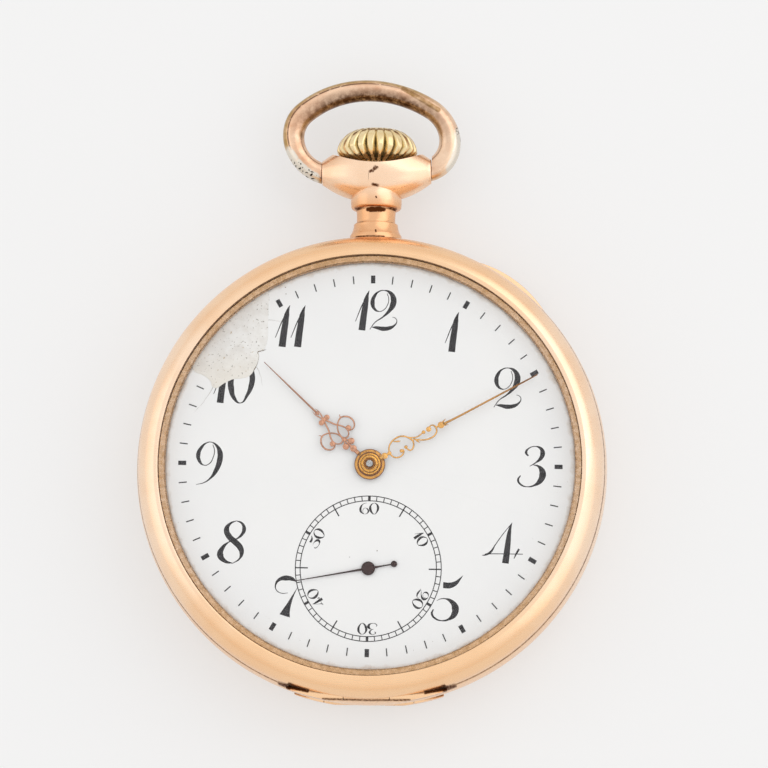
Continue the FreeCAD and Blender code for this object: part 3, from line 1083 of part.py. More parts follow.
HOUR_SCROLLS = (
    ((3.85, 0.1), (4.6, 0.06), (5.2, 0.36), (5.62, 0.9), (5.72, 1.35), (5.45, 1.85), (4.9, 2.1), (4.3, 2.0),
     (3.98, 1.6), (4.08, 1.2)),
    ((3.85, 0.1), (3.77, 0.45), (3.95, 0.82), (4.3, 1.0), (4.96, 0.87), (5.7, 0.45), (6.5, 0.16), (6.8, 0.03)),
)
HOUR_BEADS = ((4.37, 1.2, 0.3), (6.8, 0.4, 0.28), (3.15, 0.42, 0.34), (2.2, 0.0, 0.4), (3.8, 0.0, 0.24),
              (6.85, 0.0, 0.26), (7.9, 0.0, 0.2))
HOUR_STEMS = ((1.3, 3.9), (6.8, 8.0))
MINUTE_SCROLLS = (
    ((2.38, 0.0), (2.6, 0.53), (3.07, 0.93), (3.74, 1.1), (4.45, 0.96), (4.97, 0.45), (5.2, -0.07)),
    ((2.38, 0.0), (2.6, -0.58), (3.1, -0.85), (3.63, -0.73), (3.84, -0.45)),
    ((4.23, -0.25), (4.3, -0.57), (4.58, -0.78), (4.94, -0.58), (5.16, -0.18), (5.12, 0.24), (4.92, 0.6)),
    ((5.0, 0.45), (5.74, 0.17), (6.5, 0.26)),
    ((5.15, 0.0), (5.42, 0.05), (6.2, -0.44), (6.88, -0.63), (7.58, -0.54), (7.97, -0.16), (7.93, 0.38),
     (7.63, 0.54), (7.3, 0.4)),
    ((3.74, 1.1), (3.72, 0.9), (3.8, 0.68)),
)
MINUTE_BEADS = ((1.8, 0.0, 0.34), (2.38, 0.0, 0.2), (3.62, -0.38, 0.2), (4.23, -0.24, 0.19), (6.62, 0.28, 0.2),
                (7.25, 0.3, 0.28), (8.62, 0.0, 0.36), (3.8, 0.68, 0.16))
MINUTE_STEMS = ((0.9, 2.4), (7.95, 9.0))


def ribbon(points, half, low, high):
    """Flat strip of even width along a smooth line through points given as (along, aside)."""
    line = Part.BSplineCurve()
    line.interpolate([Vector(-aside, along, 0) for along, aside in points])
    edges = []
    for side in (-1, 1):
        offsets = []
        for step in range(3 * len(points) + 1):
            place = line.FirstParameter + (line.LastParameter - line.FirstParameter) * step / (3 * len(points))
            tangent = line.tangent(place)[0]
            offsets.append(line.value(place) + Vector(-tangent.y, tangent.x, 0) * side * half)
        curve = Part.BSplineCurve()
        curve.interpolate(offsets)
        edges.append(curve.toShape())
    edges += [Part.makeLine(edges[0].valueAt(edges[0].FirstParameter), edges[1].valueAt(edges[1].FirstParameter)),
              Part.makeLine(edges[0].valueAt(edges[0].LastParameter), edges[1].valueAt(edges[1].LastParameter))]
    return slab([Part.Wire(Part.__sortEdges__(edges))], low, high)


def hand(label, hub, bore, length, level, scrolls, beads, stems, turn, mirrored=False, boss=0.0):
    """Pierced hand of the scrolled kind: hub, fine scrolls with beads at their ends, and a long needle.

    Scrolls, beads and stems are given in the hand's own line, along Y from its axis and aside from it.
    """
    low = size(level)
    high = low + size("hand_thickness")
    root, tip, wire = size("needle_root / 2"), size("needle_tip / 2"), size("scroll_wire / 2")
    needle_start = stems[-1][1]
    parts = [bar(Vector(0, needle_start, 0), Vector(0, size(length) - tip, 0), root, tip, low, high)]
    parts += [bar(Vector(0, start, 0), Vector(0, end, 0), root, root, low, high) for start, end in stems]
    for side in (1, -1) if mirrored else (1,):
        parts += [ribbon([(along, side * aside) for along, aside in scroll], wire, low, high) for scroll in scrolls]
        parts += [Part.makeCylinder(radius, high - low, Vector(-side * aside, along, low))
                  for along, aside, radius in beads if side == 1 or aside]
    shape = Part.makeCylinder(size(hub), high - low + boss, Vector(0, 0, low)).fuse(parts)
    shape = shape.cut(Part.makeCylinder(size(bore), 3, Vector(0, 0, low - 1)))
    return solid(label, shape.removeSplitter(), turn=turn)


def hands():
    """The three hands, standing at ten o'clock and ten minutes."""
    hand("hour_hand", "hour_hub", "pipe_radius", "hour_length", "hour_level", HOUR_SCROLLS, HOUR_BEADS, HOUR_STEMS,
         size("hour_turn"), mirrored=True)
    hand("minute_hand", "minute_hub", "cannon_radius", "minute_length", "minute_level", MINUTE_SCROLLS,
         MINUTE_BEADS, MINUTE_STEMS, size("minute_turn"), boss=size("hub_rise"))
    low = size("seconds_level")
    high = low + size("hand_thickness")
    length, tail, tip = size("seconds_length"), size("seconds_tail"), size("needle_tip / 2")
    shape = Part.makeCylinder(size("seconds_hub"), high - low + size("seconds_rise"), Vector(0, 0, low))
    shape = shape.fuse([
        bar(Vector(), Vector(0, length - tip, 0), size("seconds_root / 2"), tip, low, high),
        bar(Vector(), Vector(0, -tail, 0), size("needle_root / 2"), tip, low, high),
        Part.makeCylinder(size("seconds_weight"), high - low, Vector(0, -tail, low))])
    shape = shape.cut(Part.makeCylinder(size("pivot_radius"), 2, Vector(0, 0, low - 1)))
    solid("seconds_hand", shape.removeSplitter(), *FOURTH_PLACE, turn=size("seconds_turn"))


# ---------------------------------------------------------------- the whole watch

def build():
    """Make every piece, check it and write it out."""
    case_band()
    bezel()
    crystal()
    back_cover()
    dust_cover()
    hinge_pin("bezel_hinge_pin", "front_hinge_height")
    hinge_pin("cover_hinge_pin", "back_hinge_height")
    pendant()
    bow()
    crown()
    winding_stem()
    dial()
    hands()
    motion_work()
    setting_work()
    main_plate()
    bridges()
    main_train()
    escapement()
    winding_work()
    jewels_and_screws()
    doc.recompute()
    for item in doc.Objects:
        if any(state in ("Invalid", "Error") for state in item.State):
            raise RuntimeError(f"{item.Label} of {item.getParentGeoFeatureGroup()} failed")
    os.makedirs("parts", exist_ok=True)
    for item in PIECES:
        if item.Shape.isNull() or not item.Shape.isValid():
            raise RuntimeError(f"{item.Label} has no valid shape")
        item.Shape.exportStep(os.path.join("parts", item.Label + ".step"))
        print(item.Label, len(item.Shape.Solids), round(item.Shape.Volume, 3))


build()
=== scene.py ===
"""Looks of an open face pocket watch: rolled gold case, enamel dial, scrolled hands and a nickel movement.

Sections are drawn in millimetres and turned, swept or pierced with bmesh operators, then scaled to metres. Each class
holds the sizes of its pieces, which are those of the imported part. The movement is made from the frame's own meshes.
"""
import json
import logging
import math
import random
from collections.abc import Callable, Sequence
from dataclasses import dataclass, field
from enum import Enum
from functools import partial
from typing import Any

import bmesh
import bpy
from mathutils import Matrix, Vector


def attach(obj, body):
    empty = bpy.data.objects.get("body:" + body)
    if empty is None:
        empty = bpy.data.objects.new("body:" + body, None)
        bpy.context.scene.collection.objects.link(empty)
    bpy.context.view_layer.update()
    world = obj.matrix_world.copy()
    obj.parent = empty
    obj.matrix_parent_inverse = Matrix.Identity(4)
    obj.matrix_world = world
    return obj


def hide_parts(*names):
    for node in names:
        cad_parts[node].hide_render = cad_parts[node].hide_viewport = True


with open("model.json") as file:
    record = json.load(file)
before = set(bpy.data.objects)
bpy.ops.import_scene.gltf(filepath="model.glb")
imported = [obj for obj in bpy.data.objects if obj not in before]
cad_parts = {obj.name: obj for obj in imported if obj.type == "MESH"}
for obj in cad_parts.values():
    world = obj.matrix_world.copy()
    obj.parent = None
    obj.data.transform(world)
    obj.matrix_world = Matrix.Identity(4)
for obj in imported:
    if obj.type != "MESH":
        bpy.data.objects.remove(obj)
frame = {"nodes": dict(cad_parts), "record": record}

MM = 0.001
TURN = 2 * math.pi
LOG = logging.getLogger("watch")
Point = tuple[float, float]
Place = tuple[float, float, float]
Adder = Callable[..., bpy.types.Node]
METALLIC = {"Metallic": 1.0}
STEM_HEIGHT = 5.05
STEM_BORE = 0.75
BODY_OF = {node: body for body, nodes in frame["record"]["behaviour"]["bodies"].items() for node in nodes}
SLOT_OF = {part["node"]: part["material_slot"] for part in frame["record"]["subparts"]}
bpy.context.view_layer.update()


class Side(Enum):
    """Which side of the way an arc's centre lies on."""

    LEFT = 1
    RIGHT = -1


class Spindle(Enum):
    """The line that a section is turned about."""

    UPRIGHT = "through the middle of the dial"
    STEM = "along the winding stem"


# ---------------------------------------------------------------- colours and nodes

def linear(code: str) -> tuple[float, float, float, float]:
    """Turn an sRGB hex colour into linear light.

    Args:
        code: Colour such as "#e8b58a".

    Returns:
        Red, green, blue and an alpha of one.
    """
    parts = [int(code[place:place + 2], 16) / 255 for place in (1, 3, 5)]
    light = [part / 12.92 if part <= 0.04045 else ((part + 0.055) / 1.055) ** 2.4 for part in parts]
    return (*light, 1.0)


def add(tree: bpy.types.NodeTree, kind: str, inputs: dict[Any, Any] | list[Any] | None = None,
        **settings: Any) -> bpy.types.Node:
    """Add a node, set its properties and fill or link its sockets.

    Args:
        tree: Node tree of the material or the world.
        kind: Node type without the ShaderNode prefix.
        inputs: What the open sockets hold, in their order, or by socket name. A node stands for its first output.
        settings: Properties of the node.

    Returns:
        The new node.
    """
    made = tree.nodes.new("ShaderNode" + kind)
    for name, value in settings.items():
        setattr(made, name, value)
    if isinstance(inputs, list):
        pairs = list(zip([socket for socket in made.inputs if socket.enabled], inputs))
    else:
        pairs = [(made.inputs[name], value) for name, value in (inputs or {}).items()]
    for socket, value in pairs:
        if isinstance(value, bpy.types.Node):
            value = next(output for output in value.outputs if output.enabled)
        if isinstance(value, bpy.types.NodeSocket):
            tree.links.new(value, socket)
        else:
            socket.default_value = value
    return made


def per_metre(size_mm: float) -> float:
    """Scale of a texture whose features are a given size in millimetres."""
    return 1.0 / (size_mm * MM)


@dataclass(frozen=True)
class Finish:
    """Common ground of every finish: a name and a material built once."""

    name: str

    def material(self) -> bpy.types.Material:
        """Material of this finish, made on first use.

        Returns:
            The material.
        """
        made = bpy.data.materials.get(self.name)
        if made is None:
            made = bpy.data.materials.new(self.name)
            made.use_nodes = True
            made.node_tree.nodes.clear()
            node = partial(add, made.node_tree)
            node("OutputMaterial", {"Surface": self.shade(node)})
        return made

    def shade(self, node: Adder) -> bpy.types.Node:
        """Build the nodes.

        Args:
            node: Adds a node to the material's empty tree.

        Returns:
            Shader for the output.
        """
        raise NotImplementedError


@dataclass(frozen=True)
class Mark:
    """Soft mark along a line, or about its start: ends and reach in millimetres, and how strong it is."""

    start: Place
    end: Place
    radius: float
    strength: float = 1.0


def both(node: Adder, first: Any, *others: Any) -> Any:
    """Mask that is as strong as all of its parts together: their product.

    Args:
        node: Adds a node to the tree.
        first: Number or node.
        others: Numbers or nodes it is multiplied by.

    Returns:
        The product.
    """
    for other in others:
        first = node("Math", [first, other], operation="MULTIPLY")
    return first


def either(node: Adder, first: Any, *others: Any) -> Any:
    """Mask that is as strong as the strongest of its parts.

    Args:
        node: Adds a node to the tree.
        first: Number or node.
        others: Numbers or nodes it is set against.

    Returns:
        The largest.
    """
    for other in others:
        first = node("Math", [first, other], operation="MAXIMUM")
    return first


def off(node: Adder, value: Any, place: float) -> bpy.types.Node:
    """How far a value is from a place, to either side."""
    return node("Math", [node("Math", [value, place], operation="SUBTRACT")], operation="ABSOLUTE")


def from_axis(node: Adder, where: Any) -> bpy.types.Node:
    """Distance from the upright line through the middle of the dial."""
    flat = node("VectorMath", [where, (1.0, 1.0, 0.0)], operation="MULTIPLY")
    return node("VectorMath", [flat], operation="LENGTH")


def looked_at(node: Adder) -> bpy.types.Node:
    """One for what is seen straight, in a reflection or through glass, and nothing for light on its way."""
    path = node("LightPath").outputs
    return either(node, path["Is Camera Ray"], path["Is Glossy Ray"], path["Is Transmission Ray"])


def patches(node: Adder, where: Any, grain: Place, *limits: float) -> bpy.types.Node:
    """Cloudy pattern brought to a range.

    Args:
        node: Adds a node to the tree.
        where: Socket of the place that is shaded.
        grain: Size of a cloud in millimetres, then its detail and roughness.
        limits: Range that is read and, after it, range that is given, zero to one if left out.

    Returns:
        Strength of the pattern.
    """
    size_mm, detail, roughness = grain
    return node("MapRange", [node("TexNoise", [where, per_metre(size_mm), detail, roughness]), *limits])


def spot(node: Adder, where: Any, mark: Mark) -> bpy.types.Node:
    """Soft round patch about the start of a mark: one in its middle and nothing at its radius."""
    away = node("VectorMath", [where, tuple(part * MM for part in mark.start)], operation="DISTANCE")
    return node("MapRange", [away, 0.0, mark.radius * MM, 1.0, 0.0])


def smear(node: Adder, where: Any, mark: Mark) -> bpy.types.Node:
    """Soft mark along a line, one on the line and nothing at its radius; height counts for little.

    Args:
        node: Adds a node to the tree.
        where: Socket of the place that is shaded.
        mark: The mark that is drawn.

    Returns:
        How strongly the place is marked, from zero to one.
    """
    squash = Vector((1.0, 1.0, 0.15))
    first, last = (Vector([part * scale * MM for part, scale in zip(place, squash)])
                   for place in (mark.start, mark.end))
    along = last - first
    flat = node("VectorMath", [where, squash], operation="MULTIPLY")
    away = node("VectorMath", [flat, first], operation="SUBTRACT")
    share = node("VectorMath", [away, along], operation="DOT_PRODUCT")
    share = node("MapRange", [share, 0.0, max(along.length_squared, 1e-10), 0.0, 1.0])
    near = node("VectorMath", [along, share], operation="SCALE")
    gap = node("VectorMath", [away, near], operation="DISTANCE")
    return node("MapRange", [gap, mark.radius * MM * 0.35, mark.radius * MM, 1.0, 0.0])


def painted(node: Adder, base: Any, *layers: tuple[Any, str]) -> Any:
    """Lay colours over a base.

    Args:
        node: Adds a node to the tree.
        base: Colour or node underneath.
        layers: Mask and hex colour of each layer, from the lowest.

    Returns:
        The colour that comes of it.
    """
    for mask, code in layers:
        base = node("Mix", [mask, base, linear(code)], data_type="RGBA")
    return base


def surface(node: Adder, colour: Any, rough: Any, relief: tuple[Any, float, float],
            traits: dict[str, float]) -> bpy.types.Node:
    """Surface with a slight relief.

    Args:
        node: Adds a node to the tree.
        colour: Colour or node.
        rough: Roughness, as a number or a node.
        relief: Its height, how much it tells, and its depth in millimetres.
        traits: Sockets of the shader that are the same all over.

    Returns:
        The shader.
    """
    height, strength, depth_mm = relief
    bump = node("Bump", {"Height": height, "Strength": strength, "Distance": depth_mm * MM})
    return node("BsdfPrincipled", {"Base Color": colour, **traits, "Roughness": rough, "Normal": bump})


# ---------------------------------------------------------------- finishes

@dataclass(frozen=True)
class RolledGold(Finish):
    """Rolled rose gold, buffed bright and carried for a century: soft scratches, tarnish and painted shade where
    cloths can't reach.
    """

    tone: str = "#f9cfa4"
    pale: str = "#fcdfc3"
    deep: str = "#f3c092"
    grime_and_shade: str = "#5b3216"
    film: str = "#b98c58"
    roughness: float = 0.25
    hollow_mm: float = 0.5
    rim_mm: float = 0.0
    rim_width_mm: float = 0.1
    seam_mm: float = 0.0
    warm_mm: float = 0.0
    marks: tuple[Mark, ...] = ()

    def shade(self, node: Adder) -> bpy.types.Node:
        """Gold with cloudy warmth, painted shade towards its ends, fine wiping marks, and dirt and painted shade in
        its crevices.

        Args:
            node: Adds a node to the material's empty tree.

        Returns:
            Shader for the output.
        """
        where = node("TexCoord").outputs["Object"]
        place = node("SeparateXYZ", [where]).outputs
        clouds = node("TexNoise", [where, per_metre(4.0), 3.0, 0.55])
        # Painted shade: towards twelve and six o'clock the gold takes the deeper tone, where less light falls on it.
        ends = node("Math", [off(node, place["Y"], 1.5 * MM), both(node, clouds, 4.0 * MM)], operation="ADD")
        layers = [(node("MapRange", [ends, 12.0 * MM, 23.0 * MM]), self.tone),
                  (node("MapRange", [clouds, 0.42, 0.75, 0.0, 0.3]), self.deep)]
        if self.warm_mm:
            limits = (self.warm_mm + 0.6) * MM, (self.warm_mm - 0.9) * MM
            layers.append((node("MapRange", [place["Y"], *limits, 0.0, 0.85]), self.deep))
        mottle = patches(node, where, (0.35, 6.0, 0.7), 0.3, 0.65, 0.35, 1.0)
        # Painted shade: ambient occlusion darkens the hollows and the gaps between parts, together with the dirt in
        # them.
        shelter = node("AmbientOcclusion", {"Distance": self.hollow_mm * MM}, samples=8).outputs["AO"]
        soiled_and_shaded = both(node, node("MapRange", [shelter, 0.25, 0.72, 0.9, 0.0]), mottle)
        if self.rim_mm:
            radius = from_axis(node, where)
            inside = node("MapRange", [radius, (self.rim_mm + 0.06) * MM, (self.rim_mm - 0.06) * MM])
            soiled_and_shaded = both(node, soiled_and_shaded, node("MapRange", [inside, 0.0, 1.0, 0.8, 0.15]))
            ring = node("MapRange", [off(node, radius, self.rim_mm * MM), self.rim_width_mm * 0.3 * MM,
                                     self.rim_width_mm * MM, 1.0, 0.0])
            soiled_and_shaded = either(node, soiled_and_shaded, both(node, ring, mottle))
            worn = patches(node, where, (0.5, 5.0, 0.7), 0.32, 0.62, 0.3, 0.85)
            layers.append((both(node, inside, worn), self.film))
        if self.seam_mm:
            joint = node("MapRange", [off(node, place["Z"], self.seam_mm * MM), 0.12 * MM, 0.3 * MM, 0.85, 0.0])
            soiled_and_shaded = either(node, soiled_and_shaded, both(node, joint, mottle))
        # Drawn marks: chips, cracks and ticks, and painted shade in the hinge, beside the thumb lip and under the
        # pendant's collar.
        if self.marks:
            jagged = patches(node, where, (0.22, 4.0, 0.6), 0.35, 0.6, 0.55, 1.25)
            for mark in self.marks:
                drawn = both(node, smear(node, where, mark), mark.strength, jagged)
                soiled_and_shaded = either(node, soiled_and_shaded, node("Math", [drawn, 1.0], operation="MINIMUM"))
        colour = painted(node, linear(self.pale), *layers, (soiled_and_shaded, self.grime_and_shade))
        # Wiping marks are finer than this on real gold, and are drawn coarser so that they show.
        wiped = node("Mapping", {"Vector": where, "Scale": (1.0, 7.0, 3.0), "Rotation": (0.0, 0.0, 0.6)})
        rough = patches(node, wiped, (0.9, 5.0, 0.75), 0.35, 0.75, self.roughness * 0.75, self.roughness * 1.5)
        rough = node("Math", [rough, both(node, soiled_and_shaded, 0.4)], operation="ADD")
        dents = node("TexNoise", [where, per_metre(3.2), 2.0, 0.55])
        return surface(node, colour, rough, (dents, 0.12, 0.02), METALLIC)


@dataclass(frozen=True)
class WornBow(Finish):
    """Silvered brass bow whose gold wash has worn off: peach film, bare silver, brown stains and black pits, with a
    painted dark reflection along the inside of its top.
    """

    centre: Place = (-0.4, 36.0, STEM_HEIGHT)
    left_silver: Mark = Mark((-9.6, 34.2, 5.9), (-7.2, 31.9, 5.9), 1.3)
    right_silver: Mark = Mark((9.2, 36.8, 5.6), (8.3, 33.2, 5.6), 1.1)
    left_pits: Mark = Mark((-9.1, 33.5, 6.0), (-6.9, 31.9, 6.0), 0.55)
    right_pits: Mark = Mark((8.6, 37.6, 5.8), (9.3, 36.0, 5.8), 0.3)
    streak: Mark = Mark((2.8, 41.75, 6.0), (6.6, 39.4, 6.0), 0.38)
    stain: Mark = Mark((-8.2, 36.6, 5.9), (-8.2, 36.6, 5.9), 0.6)

    def shade(self, node: Adder) -> bpy.types.Node:
        """Layers of wash, bare metal and tarnish, placed where a chain and a thumb rub, and a painted dark reflection
        inside the top.

        Args:
            node: Adds a node to the material's empty tree.

        Returns:
            Shader for the output.
        """
        where = node("TexCoord").outputs["Object"]
        away = node("VectorMath", [where, tuple(part * MM for part in self.centre)], operation="SUBTRACT")
        away = node("VectorMath", [away, (1.0, 1.35, 0.0)], operation="MULTIPLY")
        away = node("VectorMath", [away], operation="NORMALIZE")
        outward = node("VectorMath", [away, node("NewGeometry").outputs["Normal"]], operation="DOT_PRODUCT")
        place = node("SeparateXYZ", [where]).outputs
        clouds = node("TexNoise", [where, per_metre(2.4), 4.0, 0.6])
        streaks = node("TexNoise", [where, per_metre(0.6), 5.0, 0.65])
        pale = node("MapRange", [place["X"], 4.0 * MM, 9.0 * MM, 0.0, 0.6])
        olive = both(node, node("MapRange", [outward, 0.52, 0.68]), node("MapRange", [streaks, 0.3, 0.6, 0.5, 1.0]),
                     node("MapRange", [place["X"], 8.0 * MM, 4.0 * MM]))
        groove = both(node, node("MapRange", [off(node, outward, 0.5), 0.03, 0.1, 0.9, 0.0]),
                      node("MapRange", [streaks, 0.36, 0.46]),
                      node("MapRange", [place["X"], 5.0 * MM, -2.0 * MM, 0.15, 1.0]))
        silver = either(
            node, both(node, smear(node, where, self.left_silver), node("MapRange", [outward, 0.1, 0.35])),
            both(node, smear(node, where, self.right_silver), node("MapRange", [outward, 0.3, 0.6])))
        silver = both(node, silver, node("MapRange", [streaks, 0.35, 0.55, 0.55, 1.3]))
        brown = both(node, node("MapRange", [smear(node, where, self.streak), 0.1, 0.7]),
                     node("MapRange", [streaks, 0.3, 0.6, 0.55, 1.0]))
        brown = either(node, brown, spot(node, where, self.stain))
        # Painted dark reflection: the inner side of the upper half of the wire is darkened brown.
        painted_inner_reflection = both(node, node("MapRange", [outward, 0.25, -0.6]),
                      node("MapRange", [place["Y"], 35.0 * MM, 40.5 * MM]),
                      node("MapRange", [streaks, 0.25, 0.6, 0.45, 1.1]))
        near = either(node, smear(node, where, self.left_pits), smear(node, where, self.right_pits))
        pits = both(node, patches(node, where, (0.3, 2.0, 0.4), 0.56, 0.6), node("MapRange", [near, 0.15, 0.5]))
        colour = painted(
            node, linear("#f6d1b2"), (node("MapRange", [clouds, 0.38, 0.66]), "#dcaa88"), (pale, "#ead2b8"),
            (olive, "#b3925c"), (groove, "#6a4e3a"), (node("MapRange", [silver, 0.15, 0.7]), "#e2dacd"),
            (brown, "#9a774c"), (painted_inner_reflection, "#5b3d29"), (pits, "#2b221b"))
        rough = node("Math", [node("MapRange", [clouds, 0.3, 0.7, 0.2, 0.32]), both(node, pits, 0.5)],
                     operation="ADD")
        height = node("Math", [clouds, pits], operation="SUBTRACT")
        return surface(node, colour, rough, (height, 0.25, 0.05), METALLIC)


@dataclass(frozen=True)
class Enamel(Finish):
    """White vitreous enamel fired on copper: glassy, faintly uneven, and stained where it meets the case."""

    tone: str = "#f3f3f2"
    rim_mm: float = 21.6

    def shade(self, node: Adder) -> bpy.types.Node:
        """Glassy white with a brown stain that creeps in from the rim.

        Args:
            node: Adds a node to the material's empty tree.

        Returns:
            Shader for the output.
        """
        where = node("TexCoord").outputs["Object"]
        creep = both(node, node("TexNoise", [where, per_metre(1.4), 5.0, 0.65]), 1.6 * MM)
        edge = node("Math", [from_axis(node, where), creep], operation="ADD")
        stain = node("MapRange", [edge, (self.rim_mm + 0.55) * MM, (self.rim_mm + 1.1) * MM, 0.0, 0.5])
        clouds = patches(node, where, (9.0, 2.0, 0.55), 0.35, 0.7, 0.0, 0.35)
        colour = painted(node, linear(self.tone), (clouds, "#ecedee"), (stain, "#b89a78"))
        ripple = node("TexNoise", [where, per_metre(6.0), 1.0, 0.55])
        return surface(node, colour, 0.14, (ripple, 0.08, 0.05), {"IOR": 1.5})


@dataclass(frozen=True)
class FiredInk(Finish):
    """Dark grey ceramic paint, printed on enamel and fired: matt beside the glaze, a little starved in places."""

    tone: str = "#161417"
    thin: str = "#3a373b"

    def shade(self, node: Adder) -> bpy.types.Node:
        """Ink whose density varies as a transfer print does.

        Args:
            node: Adds a node to the material's empty tree.

        Returns:
            Shader for the output.
        """
        where = node("TexCoord").outputs["Object"]
        density = patches(node, where, (0.3, 4.0, 0.6), 0.4, 0.75)
        colour = painted(node, linear(self.tone), (density, self.thin))
        return node("BsdfPrincipled", {"Base Color": colour, "Roughness": 0.5, "IOR": 1.3})


@dataclass(frozen=True)
class FillerPaste(Finish):
    """Old repair wax rubbed into the chipped enamel: greyish cream, matt, with dust and gold flecks in it."""

    def shade(self, node: Adder) -> bpy.types.Node:
        """Cream paste, yellower towards its lower edge, speckled with dirt.

        Args:
            node: Adds a node to the material's empty tree.

        Returns:
            Shader for the output.
        """
        where = node("TexCoord").outputs["Object"]
        warm = node("MapRange", [node("SeparateXYZ", [where]).outputs["Y"], 12.5 * MM, 9.0 * MM, 0.0, 0.6])
        specks = patches(node, where, (0.22, 2.0, 0.5), 0.66, 0.7, 0.0, 0.8)
        flecks = patches(node, where, (0.34, 3.0, 0.5), 0.68, 0.71, 0.0, 0.7)
        colour = painted(node, linear("#efeeeb"), (patches(node, where, (1.1, 6.0, 0.6), 0.35, 0.65), "#e2dfda"),
                         (warm, "#ece5d8"), (specks, "#8c8377"), (flecks, "#b09468"))
        lumps = node("TexNoise", [where, per_metre(0.4), 6.0, 0.65])
        return surface(node, colour, 0.6, (lumps, 0.5, 0.06), {})


@dataclass(frozen=True)
class Dirt(Finish):
    """Dirt of many years in cracks and at the joints: dark brown, dull."""

    def shade(self, node: Adder) -> bpy.types.Node:
        """Brown that varies from speck to speck.

        Args:
            node: Adds a node to the material's empty tree.

        Returns:
            Shader for the output.
        """
        where = node("TexCoord").outputs["Object"]
        dusty = patches(node, where, (0.6, 3.0, 0.55), 0.35, 0.65)
        colour = painted(node, linear("#4a3a2c"), (dusty, "#8b7355"))
        return node("BsdfPrincipled", {"Base Color": colour, "Roughness": 0.7})


@dataclass(frozen=True)
class WatchGlass(Finish):
    """Thin domed crystal of clear glass: its IOR is below soda glass, so that the dial shows with weak reflections."""

    def shade(self, node: Adder) -> bpy.types.Node:
        """Glass for what is seen through or in it, and open to light on its way to the dial.

        Args:
            node: Adds a node to the material's empty tree.

        Returns:
            Shader for the output.
        """
        glass = node("BsdfPrincipled", {"Base Color": linear("#ffffff"), "Roughness": 0.0, "IOR": 1.33,
                                        "Transmission Weight": 1.0})
        path = node("LightPath").outputs
        lighting = either(node, path["Is Shadow Ray"], path["Is Diffuse Ray"])
        return node("MixShader", [lighting, glass, node("BsdfTransparent")])


@dataclass(frozen=True)
class HandMetal(Finish):
    """Stamped and gilt hand metal, or blued steel, with a grain of fine pits and handling marks."""

    tone: str = "#c98a62"
    # Darker colour of dull spots, also painted as shade down the sides of the hand.
    worn: str = "#7c5138"
    roughness: float = 0.32
    hub: str = "#dba24f"
    hub_mm: float = 0.0
    rings: tuple[Point, ...] = ()
    needle_mm: float = 0.0

    def shade(self, node: Adder) -> bpy.types.Node:
        """Metal that has gone dull and dark in spots, with painted shade down its sides and turned rings in its hub.

        Args:
            node: Adds a node to the material's empty tree.

        Returns:
            Shader for the output.
        """
        where = node("TexCoord").outputs["Object"]
        radius = from_axis(node, where)
        mottle = node("TexNoise", [where, per_metre(0.3), 5.0, 0.7])
        tone = linear(self.tone)
        if self.hub_mm:
            middle = node("MapRange", [radius, (self.hub_mm + 0.1) * MM, self.hub_mm * MM])
            tone = painted(node, tone, (middle, self.hub))
        # Painted shade: faces that tilt away from straight up take the darker worn colour, so the sides of the hand
        # look shaded.
        upright = node("SeparateXYZ", [node("NewGeometry").outputs["Normal"]]).outputs["Z"]
        dark = either(node, node("MapRange", [upright, 0.95, 0.3, 0.0, 0.9]),
                      node("MapRange", [mottle, 0.5, 0.68, 0.0, 0.8]))
        if self.needle_mm:
            dull = node("MapRange", [radius, self.needle_mm * MM, (self.needle_mm + 1.5) * MM, 0.0, 0.5])
            tip = node("MapRange", [radius, (self.needle_mm + 3.0) * MM, (self.needle_mm + 10.0) * MM])
            dark = either(node, dark, either(node, dull, tip))
        uneven = both(node, mottle, 0.16 * MM)
        for ring, width in self.rings:
            gap = off(node, node("Math", [radius, uneven], operation="ADD"), ring * MM)
            dark = either(node, dark, node("MapRange", [gap, width * 0.6 * MM, width * MM, 1.0, 0.0]))
        colour = painted(node, tone, (dark, self.worn))
        # Real pits are a few hundredths of a millimetre, too fine to show.
        pits = node("TexNoise", [where, per_metre(0.12), 3.0, 0.55])
        return surface(node, colour, self.roughness, (pits, 0.3, 0.015), METALLIC)


@dataclass(frozen=True)
class StripedNickel(Finish):
    """Nickel plated brass, ground with broad curved stripes: each pass of the wheel catches the light in turn."""

    pitch_mm: float = 2.1

    def shade(self, node: Adder) -> bpy.types.Node:
        """Stripes across the plate that lean to and fro, with the grain of the grinding in them.

        Args:
            node: Adds a node to the material's empty tree.

        Returns:
            Shader for the output.
        """
        where = node("TexCoord").outputs["Object"]
        stripes = node("TexWave", {"Vector": where, "Scale": per_metre(self.pitch_mm) / TURN * 2, "Distortion": 0.4,
                                   "Detail": 1.0, "Detail Scale": 0.3},
                       wave_type="BANDS", bands_direction="DIAGONAL", wave_profile="SAW").outputs["Fac"]
        # The grinding's own grain is finer, and is drawn coarser so that it shows.
        ground = node("Mapping", {"Vector": where, "Rotation": (0.0, 0.0, 0.8)})
        grain = node("TexNoise", [ground, per_metre(0.15), 3.0, 0.55])
        colour = painted(node, linear("#dcd7cb"), (node("MapRange", [stripes, 0.0, 1.0, 0.0, 0.6]), "#aaa599"))
        rough = node("Math", [stripes, both(node, grain, 0.4)], operation="ADD")
        rough = node("MapRange", [rough, 0.2, 1.2, 0.18, 0.38])
        height = node("Math", [stripes, both(node, grain, 0.15)], operation="ADD")
        return surface(node, colour, rough, (height, 0.25, 0.03), METALLIC)


